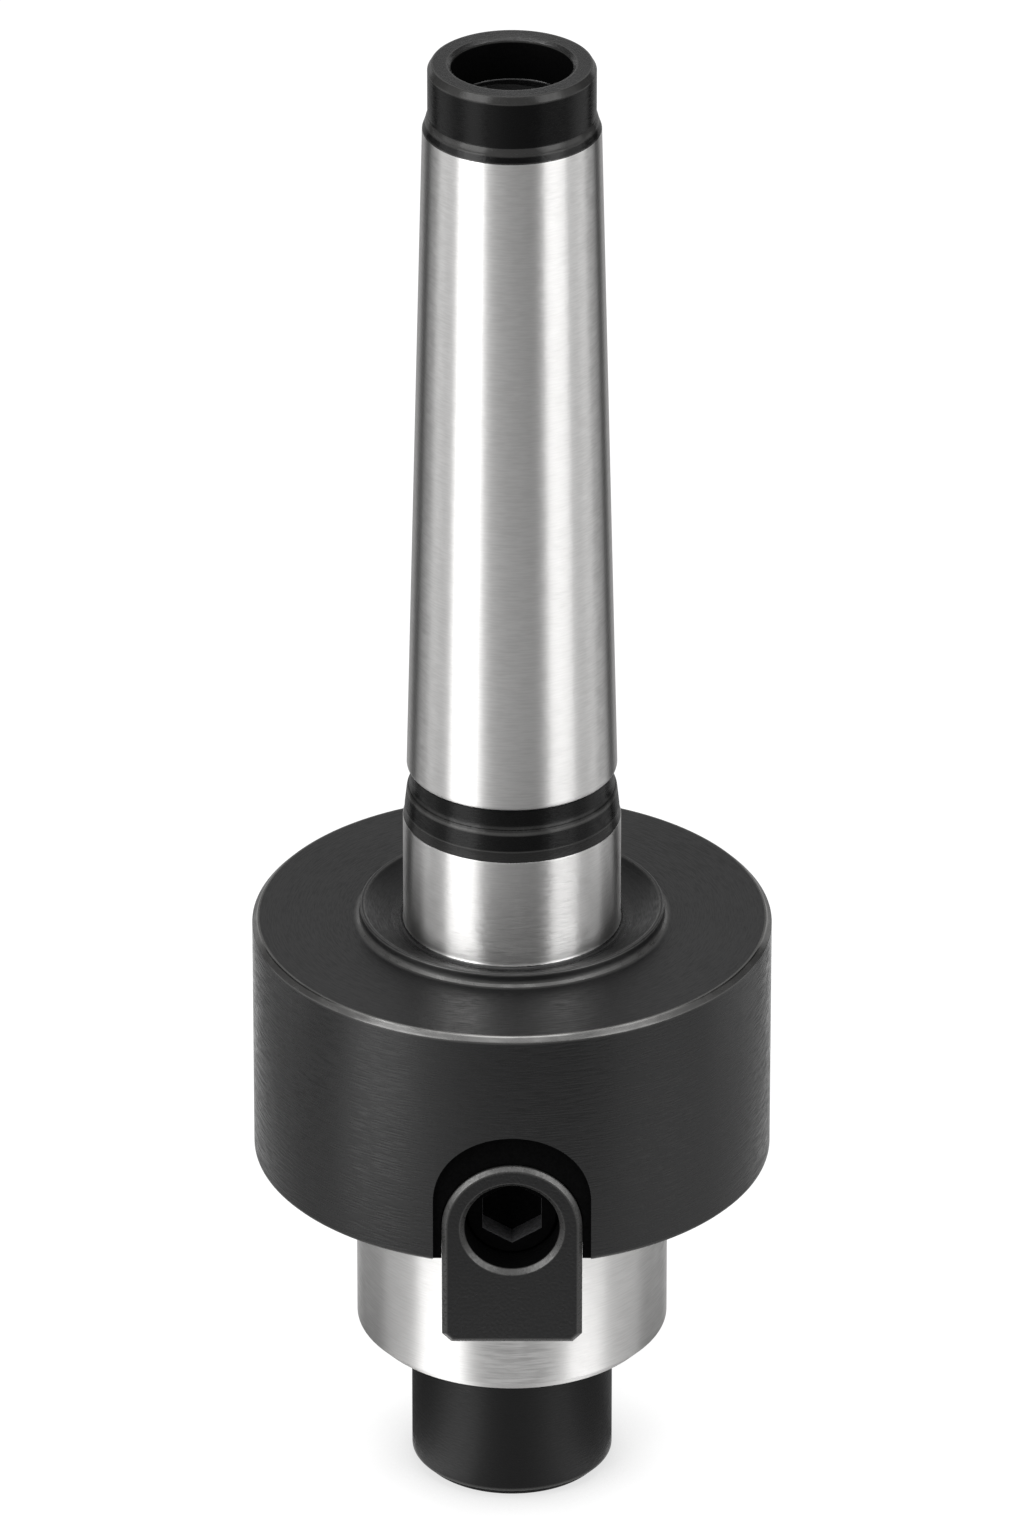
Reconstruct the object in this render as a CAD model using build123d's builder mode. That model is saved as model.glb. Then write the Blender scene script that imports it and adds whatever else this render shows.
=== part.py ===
from build123d import *
import os
from math import radians, tan

# Shell mill arbor with a Morse taper shank, two drive keys and a cutter screw, in millimetres.
# It stands upright on the head of its cutter screw. Z runs up the axis from the foot of that head.
# One drive key faces -Y and its twin faces +Y.

# Cutter screw
screw_diameter = 12.0
screw_length = 26.0
screw_tip_chamfer = 1.2
screw_head_diameter = 17.5
screw_head_height = 13.3
screw_head_foot_chamfer = 0.8
screw_head_top_chamfer = 0.3
screw_root_fillet = 0.4
screw_socket_flats = 10.0
screw_socket_depth = 8.0
screw_socket_mouth_chamfer = 0.5
screw_running_clearance = 0.05

# Tapped hole in the pilot, which holds the cutter screw
screw_hole_depth = 30.0
screw_hole_mouth_chamfer = 0.6

# Pilot and its relief groove, which is cut into the pilot and into the flange's underside
pilot_diameter = 27.0
pilot_length = 17.7
pilot_end_chamfer = 0.95
relief_width = 1.2
relief_depth = 0.25
relief_face_width = 0.35
relief_face_depth = 0.15

# Flange
flange_diameter = 44.7
flange_thickness = 22.1
flange_top_chamfer = 0.45
flange_bottom_chamfer = 0.2

# Low boss on the flange, dished towards the collar
boss_diameter = 26.2
boss_height = 1.2
boss_base_fillet = 0.55
boss_edge_chamfer = 0.12
boss_rim_width = 0.35
dish_depth = 1.45
dish_sagitta = 0.18
collar_foot_fillet = 0.35

# Ground collar, black collar above it and the undercut neck
ground_collar_diameter = 18.7
ground_collar_height = 9.9
black_collar_diameter = 18.4
black_collar_height = 2.7
black_collar_draft = 0.2
black_collar_foot_height = 0.9
black_collar_foot_step = 0.06
neck_diameter = 17.45
neck_height = 2.1
neck_fillet_height = 0.45

# Ground cone of the Morse taper no. 2
taper_gauge_diameter = 17.78
taper_gauge_offset = 5.0
taper_ratio = 20.02
taper_length = 59.7
taper_edge_radius = 0.27

# Cylindrical end of the shank
shank_end_diameter = 14.15
shank_end_length = 5.9
shank_end_flare_height = 1.3
shank_end_cove_height = 0.6
shank_end_cove_depth = 0.2
shank_end_chamfer_height = 0.55
shank_end_chamfer_width = 0.32

# Drawbar thread, M10, modelled at its tapping diameter, and its counterbore
drawbar_tap_diameter = 8.5
drawbar_tap_depth = 24.0
drawbar_counterbore_diameter = 10.25
drawbar_counterbore_depth = 3.75
drawbar_mouth_chamfer = 0.28

# Drive keys
key_width = 12.0
key_flange_setback = 0.95
key_projection = 8.1
key_centre_height = 3.05
key_corner_chamfer = 0.8
key_edge_chamfer = 0.35
key_pilot_clearance = 0.65
key_side_clearance = 0.02
key_arch_clearance = 0.1

# Recess round each key, wider and shallower than the keyway that holds it
recess_width = 13.5
recess_centre_height = 5.7
recess_floor_setback = 0.5

# Key screws, M5, each in a counterbore of its key
key_screw_diameter = 5.0
key_screw_length = 6.0
key_screw_tip_chamfer = 0.5
key_screw_head_diameter = 8.0
key_screw_head_height = 2.8
key_screw_head_chamfer = 0.25
key_screw_socket_flats = 5.0
key_screw_socket_depth = 2.3
key_screw_radial_clearance = 0.05
key_hole_diameter = 5.5
key_counterbore_diameter = 8.15
key_counterbore_mouth_chamfer = 0.4
key_web_thickness = 1.5
key_tap_depth = 5.2

# Included angle of a drill's point
drill_point_angle = 118.0

# Heights along the axis
pilot_end_z = screw_head_height
shoulder_z = pilot_end_z + pilot_length
flange_top_z = shoulder_z + flange_thickness
boss_top_z = flange_top_z + boss_height
dish_floor_z = boss_top_z - dish_depth
ground_collar_top_z = flange_top_z + ground_collar_height
neck_z = ground_collar_top_z + black_collar_height
taper_large_z = neck_z + neck_height
taper_small_z = taper_large_z + taper_length
top_z = taper_small_z + shank_end_length

# Radii
pilot_radius = pilot_diameter / 2
flange_radius = flange_diameter / 2
boss_radius = boss_diameter / 2
ground_collar_radius = ground_collar_diameter / 2
black_collar_radius = black_collar_diameter / 2
neck_radius = neck_diameter / 2
shank_end_radius = shank_end_diameter / 2

# Distances of the keys from the axis, and heights of their arches
key_back = pilot_radius + key_pilot_clearance
key_front = flange_radius - key_flange_setback
key_thickness = key_front - key_back
key_foot_z = shoulder_z - key_projection
key_centre_z = shoulder_z + key_centre_height
recess_floor = key_front - recess_floor_setback
recess_centre_z = shoulder_z + recess_centre_height
key_screw_seat = key_back + key_web_thickness

up = Vector(0, 0, 1)
front = Plane.XZ
back = Plane(origin=(0, 0, 0), x_dir=(-1, 0, 0), z_dir=(0, 1, 0))


def taper_radius(z):
    """Radius of the Morse cone at a height, from its gauge diameter and ratio."""
    gauge_z = taper_large_z + taper_gauge_offset
    return taper_gauge_diameter / 2 - (z - gauge_z) / (2 * taper_ratio)


def drill_point(radius):
    """Length of the cone that a drill's point leaves across a radius."""
    return radius / tan(radians(drill_point_angle / 2))


def axial_plane(side):
    """Plane through a key screw's axis: x runs outwards along the screw, y runs up."""
    return Plane(origin=(0, 0, key_centre_z), x_dir=side.z_dir, z_dir=side.z_dir.cross(up))


def key_screw_axis(side):
    """Axis of a key screw, pointing outwards."""
    return Axis((0, 0, key_centre_z), side.z_dir)


def arch(width, centre_z, foot_z):
    """Upright outline with parallel sides, a full round top and a straight foot."""
    with Locations((0, centre_z)):
        Circle(width / 2)
    with Locations((0, (centre_z + foot_z) / 2)):
        Rectangle(width, centre_z - foot_z)


# Arbor body: one turned piece, drilled from both ends, with a keyway on each side of its flange
with BuildPart() as arbor_body:
    with BuildSketch(Plane.XZ):
        with BuildLine():
            pilot_and_flange = Polyline(
                (0, pilot_end_z),
                (pilot_radius - pilot_end_chamfer, pilot_end_z),
                (pilot_radius, pilot_end_z + pilot_end_chamfer),
                (pilot_radius, shoulder_z - relief_width),
                (pilot_radius - relief_depth, shoulder_z - relief_width + relief_depth),
                (pilot_radius - relief_depth, shoulder_z + relief_face_depth),
                (pilot_radius + relief_face_width - relief_face_depth, shoulder_z + relief_face_depth),
                (pilot_radius + relief_face_width, shoulder_z),
                (flange_radius - flange_bottom_chamfer, shoulder_z),
                (flange_radius, shoulder_z + flange_bottom_chamfer),
                (flange_radius, flange_top_z - flange_top_chamfer),
                (flange_radius - flange_top_chamfer, flange_top_z),
                (boss_radius + boss_base_fillet, flange_top_z),
            )
            boss_fillet = RadiusArc(
                pilot_and_flange @ 1,
                (boss_radius, flange_top_z + boss_base_fillet),
                boss_base_fillet,
            )
            boss_rim = Polyline(
                boss_fillet @ 1,
                (boss_radius, boss_top_z - boss_edge_chamfer),
                (boss_radius - boss_edge_chamfer, boss_top_z),
                (boss_radius - boss_rim_width, boss_top_z),
            )
            dish = SagittaArc(
                boss_rim @ 1,
                (ground_collar_radius + collar_foot_fillet, dish_floor_z),
                dish_sagitta,
            )
            collar_foot = RadiusArc(
                dish @ 1,
                (ground_collar_radius, dish_floor_z + collar_foot_fillet),
                collar_foot_fillet,
            )
            ground_collar = Polyline(
                collar_foot @ 1,
                (ground_collar_radius, ground_collar_top_z),
                (ground_collar_radius - black_collar_foot_step, ground_collar_top_z),
            )
            black_collar_foot = SagittaArc(
                ground_collar @ 1,
                (black_collar_radius, ground_collar_top_z + black_collar_foot_height),
                black_collar_foot_step / 3,
            )
            black_collar = Line(
                black_collar_foot @ 1,
                (black_collar_radius - black_collar_draft, neck_z),
            )
            neck_fillet = SagittaArc(
                black_collar @ 1,
                (neck_radius, neck_z + neck_fillet_height),
                neck_fillet_height / 8,
            )
            neck = Polyline(
                neck_fillet @ 1,
                (neck_radius, taper_large_z),
                (taper_radius(taper_large_z) - taper_edge_radius, taper_large_z),
            )
            taper_edge = RadiusArc(
                neck @ 1,
                (taper_radius(taper_large_z + taper_edge_radius), taper_large_z + taper_edge_radius),
                -taper_edge_radius,
            )
            taper_and_flare = Polyline(
                taper_edge @ 1,
                (taper_radius(taper_small_z), taper_small_z),
                (
                    shank_end_radius + shank_end_cove_depth,
                    taper_small_z + shank_end_flare_height - shank_end_cove_height,
                ),
            )
            flare_cove = TangentArc(
                (shank_end_radius, taper_small_z + shank_end_flare_height),
                taper_and_flare @ 1,
                tangent=(0, -1),
            )
            Polyline(
                flare_cove @ 0,
                (shank_end_radius, top_z - shank_end_chamfer_height),
                (shank_end_radius - shank_end_chamfer_width, top_z),
                (0, top_z),
                (0, pilot_end_z),
            )
        make_face()
    revolve(axis=Axis.Z)

    # Tapped hole for the cutter screw, from below
    screw_hole_radius = screw_diameter / 2 + screw_running_clearance
    with BuildSketch(Plane.XZ):
        with BuildLine():
            Polyline(
                (0, pilot_end_z),
                (screw_hole_radius + screw_hole_mouth_chamfer, pilot_end_z),
                (screw_hole_radius, pilot_end_z + screw_hole_mouth_chamfer),
                (screw_hole_radius, pilot_end_z + screw_hole_depth),
                (0, pilot_end_z + screw_hole_depth + drill_point(screw_hole_radius)),
                close=True,
            )
        make_face()
    revolve(axis=Axis.Z, mode=Mode.SUBTRACT)

    # Drawbar thread and counterbore, from above
    tap_radius = drawbar_tap_diameter / 2
    counterbore_radius = drawbar_counterbore_diameter / 2
    counterbore_floor_z = top_z - drawbar_counterbore_depth
    with BuildSketch(Plane.XZ):
        with BuildLine():
            Polyline(
                (0, top_z),
                (counterbore_radius + drawbar_mouth_chamfer, top_z),
                (counterbore_radius, top_z - drawbar_mouth_chamfer),
                (counterbore_radius, counterbore_floor_z),
                (tap_radius, counterbore_floor_z - drill_point(counterbore_radius - tap_radius)),
                (tap_radius, top_z - drawbar_tap_depth),
                (0, top_z - drawbar_tap_depth - drill_point(tap_radius)),
                close=True,
            )
        make_face()
    revolve(axis=Axis.Z, mode=Mode.SUBTRACT)

    # On each side an open recess, a keyway in its floor, and a tapped hole in the keyway's floor
    for side in (front, back):
        with BuildSketch(side.offset(recess_floor)):
            arch(recess_width, recess_centre_z, shoulder_z)
        extrude(amount=flange_radius - recess_floor, mode=Mode.SUBTRACT)
        with BuildSketch(side.offset(key_back)):
            with Locations((0, key_centre_z)):
                Circle(key_width / 2 + key_arch_clearance)
            with Locations((0, (key_centre_z + shoulder_z) / 2)):
                Rectangle(key_width + 2 * key_side_clearance, key_centre_z - shoulder_z)
        extrude(amount=recess_floor - key_back, mode=Mode.SUBTRACT)
        key_tap_radius = key_screw_diameter / 2
        with BuildSketch(axial_plane(side)):
            with BuildLine():
                Polyline(
                    (key_back, 0),
                    (key_back, key_tap_radius),
                    (key_back - key_tap_depth, key_tap_radius),
                    (key_back - key_tap_depth - drill_point(key_tap_radius), 0),
                    close=True,
                )
            make_face()
        revolve(axis=key_screw_axis(side), mode=Mode.SUBTRACT)
arbor_body.part.label = "arbor_body"


def drive_key(side):
    """A drive key: arch-topped block with chamfered edges and a counterbore for its screw."""
    with BuildPart() as key:
        with BuildSketch(side.offset(key_back)) as outline:
            arch(key_width, key_centre_z, key_foot_z)
            chamfer(outline.vertices().group_by(Axis.Y)[0], length=key_corner_chamfer)
        extrude(amount=key_thickness)
        outer_face = key.faces().sort_by(Axis((0, 0, 0), side.z_dir))[-1]
        chamfer(outer_face.edges(), length=key_edge_chamfer)
        hole_radius = key_hole_diameter / 2
        pocket_radius = key_counterbore_diameter / 2
        with BuildSketch(axial_plane(side)):
            with BuildLine():
                Polyline(
                    (key_back, 0),
                    (key_back, hole_radius),
                    (key_screw_seat, hole_radius),
                    (key_screw_seat, pocket_radius),
                    (key_front - key_counterbore_mouth_chamfer, pocket_radius),
                    (key_front, pocket_radius + key_counterbore_mouth_chamfer),
                    (key_front, 0),
                    close=True,
                )
            make_face()
        revolve(axis=key_screw_axis(side), mode=Mode.SUBTRACT)
    return key


def key_screw(side):
    """A socket head screw that holds a drive key in its keyway."""
    with BuildPart() as screw:
        shank_radius = key_screw_diameter / 2 - key_screw_radial_clearance
        head_radius = key_screw_head_diameter / 2
        head_top = key_screw_seat + key_screw_head_height
        tip = key_screw_seat - key_screw_length
        with BuildSketch(axial_plane(side)):
            with BuildLine():
                Polyline(
                    (tip, 0),
                    (tip, shank_radius - key_screw_tip_chamfer),
                    (tip + key_screw_tip_chamfer, shank_radius),
                    (key_screw_seat, shank_radius),
                    (key_screw_seat, head_radius),
                    (head_top - key_screw_head_chamfer, head_radius),
                    (head_top, head_radius - key_screw_head_chamfer),
                    (head_top, 0),
                    close=True,
                )
            make_face()
        revolve(axis=key_screw_axis(side))
        with BuildSketch(side.offset(head_top)):
            with Locations((0, key_centre_z)):
                RegularPolygon(key_screw_socket_flats / 2, 6, major_radius=False, rotation=30)
        extrude(amount=-key_screw_socket_depth, mode=Mode.SUBTRACT)
    return screw


drive_key_front = drive_key(front)
drive_key_front.part.label = "drive_key_front"
drive_key_back = drive_key(back)
drive_key_back.part.label = "drive_key_back"
key_screw_front = key_screw(front)
key_screw_front.part.label = "key_screw_front"
key_screw_back = key_screw(back)
key_screw_back.part.label = "key_screw_back"

# Cutter screw: plain round head with a hexagon socket in its foot, and a threaded shank
with BuildPart() as cutter_screw:
    screw_radius = screw_diameter / 2
    head_radius = screw_head_diameter / 2
    screw_tip_z = screw_head_height + screw_length
    with BuildSketch(Plane.XZ):
        with BuildLine():
            head_outline = Polyline(
                (0, 0),
                (head_radius - screw_head_foot_chamfer, 0),
                (head_radius, screw_head_foot_chamfer),
                (head_radius, screw_head_height - screw_head_top_chamfer),
                (head_radius - screw_head_top_chamfer, screw_head_height),
                (screw_radius + screw_root_fillet, screw_head_height),
            )
            root_fillet = RadiusArc(
                head_outline @ 1,
                (screw_radius, screw_head_height + screw_root_fillet),
                screw_root_fillet,
            )
            Polyline(
                root_fillet @ 1,
                (screw_radius, screw_tip_z - screw_tip_chamfer),
                (screw_radius - screw_tip_chamfer, screw_tip_z),
                (0, screw_tip_z),
                (0, 0),
            )
        make_face()
    revolve(axis=Axis.Z)
    with BuildSketch(Plane.XY):
        RegularPolygon(screw_socket_flats / 2, 6, major_radius=False)
    extrude(amount=screw_socket_depth, mode=Mode.SUBTRACT)
    socket_corner_radius = screw_socket_flats / 2 / (3**0.5 / 2)
    mouth_radius = socket_corner_radius + screw_socket_mouth_chamfer / 2
    with BuildSketch(Plane.XZ):
        with BuildLine():
            Polyline(
                (0, 0),
                (mouth_radius, 0),
                (mouth_radius - screw_socket_mouth_chamfer, screw_socket_mouth_chamfer),
                (0, screw_socket_mouth_chamfer),
                close=True,
            )
        make_face()
    revolve(axis=Axis.Z, mode=Mode.SUBTRACT)
cutter_screw.part.label = "cutter_screw"

os.makedirs("parts", exist_ok=True)
export_step(arbor_body.part, "parts/arbor_body.step")
export_step(drive_key_front.part, "parts/drive_key_front.step")
export_step(drive_key_back.part, "parts/drive_key_back.step")
export_step(key_screw_front.part, "parts/key_screw_front.step")
export_step(key_screw_back.part, "parts/key_screw_back.step")
export_step(cutter_screw.part, "parts/cutter_screw.step")
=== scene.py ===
"""Dressed model of a shell mill arbor that stands upright on the head of its cutter screw.

Sizes in the classes are millimetres and degrees. Meshes are written in metres, in the part's own frame:
Z runs up the axis from the foot of the cutter screw, and one drive key faces -Y.
"""

import logging
import math
from dataclasses import dataclass, field, replace
from enum import Enum

import bmesh
import bpy
import numpy as np
from bpy.types import ID, Material, Mesh, Node, NodeSocket, NodeTree, Object
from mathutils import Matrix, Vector


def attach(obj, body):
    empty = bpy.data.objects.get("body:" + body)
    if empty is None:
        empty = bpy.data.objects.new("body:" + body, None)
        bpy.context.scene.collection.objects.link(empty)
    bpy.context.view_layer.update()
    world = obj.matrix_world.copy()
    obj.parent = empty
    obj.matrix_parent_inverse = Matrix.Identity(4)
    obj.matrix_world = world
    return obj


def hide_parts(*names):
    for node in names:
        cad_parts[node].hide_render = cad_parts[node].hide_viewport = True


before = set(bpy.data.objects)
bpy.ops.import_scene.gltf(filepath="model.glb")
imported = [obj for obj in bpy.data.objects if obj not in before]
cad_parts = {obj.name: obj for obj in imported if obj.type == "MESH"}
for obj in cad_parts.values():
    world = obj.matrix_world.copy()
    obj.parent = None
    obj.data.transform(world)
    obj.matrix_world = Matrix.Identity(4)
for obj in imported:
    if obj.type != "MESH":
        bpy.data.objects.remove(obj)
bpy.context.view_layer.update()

log = logging.getLogger("arbor")

MM = 0.001
TINY = 1e-9
WHITE = (1.0, 1.0, 1.0, 1.0)
WEAR_ATTRIBUTE = "edge"
EDGE_WEAR = 0.15
BORDER = 0.15
BORDER_SHARE = 0.3
SAME_POINT = 1e-4
LEAST_TURN = 1e-6
LEAST_BEND = 0.02
SHARP_ANGLE = 28
MERGE_IN_METRES = 5e-7
HAIR = 0.01
CLEAR = 0.1
BUMP_DEPTH = 2e-5
ALONG_MARKS = 0.25
NOISE_SPAN = (0.3, 0.7)
PATCH_SPAN = (0.3, 0.75, 0.8, 1.0)
CLOUD_SPAN = (0.7, 1.3)
KEY_AXIS_Z = 34.05
KEY_BACK = 14.15
KEY_SCREW_SEAT = 15.65

Pair = tuple[np.ndarray, np.ndarray]
Rows = list[tuple[float, float, float]]
Tones = tuple[tuple[float, float], ...]


class Finish(Enum):
    """The finishes of the turned body, each with the index of its material on that piece."""

    GROUND = 0
    SATIN_BLACK = 1
    SMOOTH_BLACK = 2
    # Near-black with almost no reflection: painted shade in the key seats and the counterbore.
    PAINTED_SHADE_BLACK = 3
    DULL_BLACK = 4
    FACED_BLACK = 5


class Side(Enum):
    """The two sides of the flange that carry a drive key, as the sign of Y that the key faces."""

    FRONT = -1
    BACK = 1


# Curves and profiles


def corners(rows: Rows, steps: int = 3, hand: float = 1.0) -> np.ndarray:
    """Rounds the corners of an open outline and borders each of them with support points.

    A corner of half angle h gets an arc of its radius R that touches both of its sides R / tan(h) from
    the corner, with the arc's points spread evenly by angle. A support point lies on each side a short
    way past the arc's end, so that shading and wear stay close to the edge.

    Args:
        rows: each corner's place and its radius, 0 where it stays sharp.
        steps: how many chords stand for an arc.
        hand: 1 where the outline turns left at an outer edge, -1 where it turns right there.

    Returns:
        The rounded outline with a column for the wear, which is 0 away from the arcs of outer edges.
    """
    table = np.array(rows, float)
    corner, radius = table[1:-1, :2], table[1:-1, 2:]
    before, after = table[:-2, :2] - corner, table[2:, :2] - corner
    reach_before, reach_after = (np.linalg.norm(side, axis=1, keepdims=True) for side in (before, after))
    before, after = before / reach_before, after / reach_after
    half = np.arccos(np.clip((before * after).sum(1, keepdims=True), -1, 1)) / 2
    trim = radius / np.tan(half)
    bisector = before + after
    bisector = bisector / np.maximum(np.linalg.norm(bisector, axis=1, keepdims=True), TINY)
    centre = corner + bisector * radius / np.sin(half)
    start, end = corner + before * trim, corner + after * trim
    turn = np.maximum(math.pi - 2 * half, LEAST_TURN)[:, None]
    share = np.linspace(0, 1, steps + 1)[None, :, None]
    from_start = np.sin((1 - share) * turn) / np.sin(turn) * (start - centre)[:, None]
    from_end = np.sin(share * turn) / np.sin(turn) * (end - centre)[:, None]
    lead = start + before * np.minimum(BORDER, BORDER_SHARE * (reach_before - trim))
    trail = end + after * np.minimum(BORDER, BORDER_SHARE * (reach_after - trim))
    places = np.concatenate([lead[:, None], centre[:, None] + from_start + from_end, trail[:, None]], axis=1)
    turns_left = after[:, :1] * before[:, 1:] - after[:, 1:] * before[:, :1]
    wear = np.zeros((*places.shape[:2], 1))
    wear[:, 1:-1] = np.where((radius > 0) & (hand * turns_left > LEAST_BEND), EDGE_WEAR, 0.0)[:, None]
    ends = table[[0, -1]] * (1, 1, 0)
    block = np.concatenate([places, wear], axis=2).reshape(-1, 3)
    whole = np.concatenate([ends[:1], block, ends[1:]])
    apart = np.linalg.norm(np.diff(whole[:, :2], axis=0), axis=1) > SAME_POINT
    return whole[np.concatenate([[True], apart])]


def bow(start: tuple[float, float], end: tuple[float, float], rise: float, steps: int = 6) -> Rows:
    """A shallow curve between two points: the chord, raised to its left by 4 s (1 - s) times the rise.

    Args:
        start: first point.
        end: last point.
        rise: height of the curve over the middle of its chord.
        steps: how many chords stand for the curve.

    Returns:
        The inner points of the curve, without its ends, as sharp corners.
    """
    share = np.linspace(0, 1, steps + 1)[1:-1, None]
    first = np.array(start, float)
    chord = np.array(end, float) - first
    left = np.array([-chord[1], chord[0]]) / np.linalg.norm(chord)
    return [(r, z, 0.0) for r, z in first + share * chord + 4 * share * (1 - share) * rise * left]


def hexagon(angle: np.ndarray, flats: float, turned: float = 0.0) -> np.ndarray:
    """Distance of a regular hexagon's outline from its centre.

    Half the width across flats over the cosine of the angle from the middle of the nearest flat.

    Args:
        angle: directions in radians.
        flats: width across flats.
        turned: direction of the middle of one flat, in radians.

    Returns:
        The distance in each direction.
    """
    sixth = math.pi / 3
    from_flat = np.mod(angle - turned + sixth / 2, sixth) - sixth / 2
    return flats / 2 / np.cos(from_flat)


# Meshes


@dataclass(frozen=True)
class Thread:
    """A metric thread of 60 degrees, on a shank or in a hole.

    Attributes:
        pitch: rise of a turn.
        crest: radius at the ridge's crest for a shank, or at the groove's bottom for a hole.
        root: radius between the ridges.
        plain_low: radius of the plain ring that the thread fades into at its lower end.
        plain_high: radius of the plain ring at its upper end.
        slope_low: radius gained per millimetre from the lower end, 0 where the thread fades instead.
        slope_high: the same from the upper end.
        inside: whether the thread is cut in a hole.
        wear: wear along its crest.
    """

    pitch: float
    crest: float
    root: float
    plain_low: float
    plain_high: float
    slope_low: float = 0.0
    slope_high: float = 0.0
    inside: bool = False
    wear: float = 0.7

    def phases(self) -> np.ndarray:
        """Shares of a pitch at which the rings lie: the crest's edges, the flanks' feet and the root."""
        return np.array([1 / 16, 3 / 8, 1 / 2, 5 / 8, 15 / 16])

    def ridge(self, phases: np.ndarray) -> np.ndarray:
        """Height of the ridge: 1 within a sixteenth of the crest's middle, falling evenly over 5/16."""
        away = np.minimum(phases, 1 - phases)
        return np.clip((3 / 8 - away) / (5 / 16), 0, 1) - 0.04 * (away > 0.45)

    def reach(self, ridge: np.ndarray, height: np.ndarray, low: float, high: float) -> Pair:
        """Radius and wear at each point of the thread.

        The ridge is scaled by a fade that rises as 3 t^2 - 2 t^3 over the first pitch from a plain end,
        and is cut off by a cone where the end has a slope.

        Args:
            ridge: share of the thread's depth at each point.
            height: height of each point.
            low: height of the lower end.
            high: height of the upper end.

        Returns:
            The radius and the wear.
        """
        below = (height - low, self.slope_low, self.plain_low)
        above = (high - height, self.slope_high, self.plain_high)
        fade = np.ones_like(height)
        for gap, slope, _ in (below, above):
            share = np.clip(gap / self.pitch, 0, 1)
            fade = fade if slope else fade * share * share * (3 - 2 * share)
        radius = self.root + (self.crest - self.root) * ridge * fade
        keep = np.maximum if self.inside else np.minimum
        for gap, slope, plain in (below, above):
            if slope:
                radius = keep(radius, plain + slope * gap)
            radius = np.where(gap <= TINY, plain, radius)
        crest_seen = (ridge < 0.1) if self.inside else (ridge > 0.9)
        return radius, np.where(crest_seen, self.wear, 0.0) * fade


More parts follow.
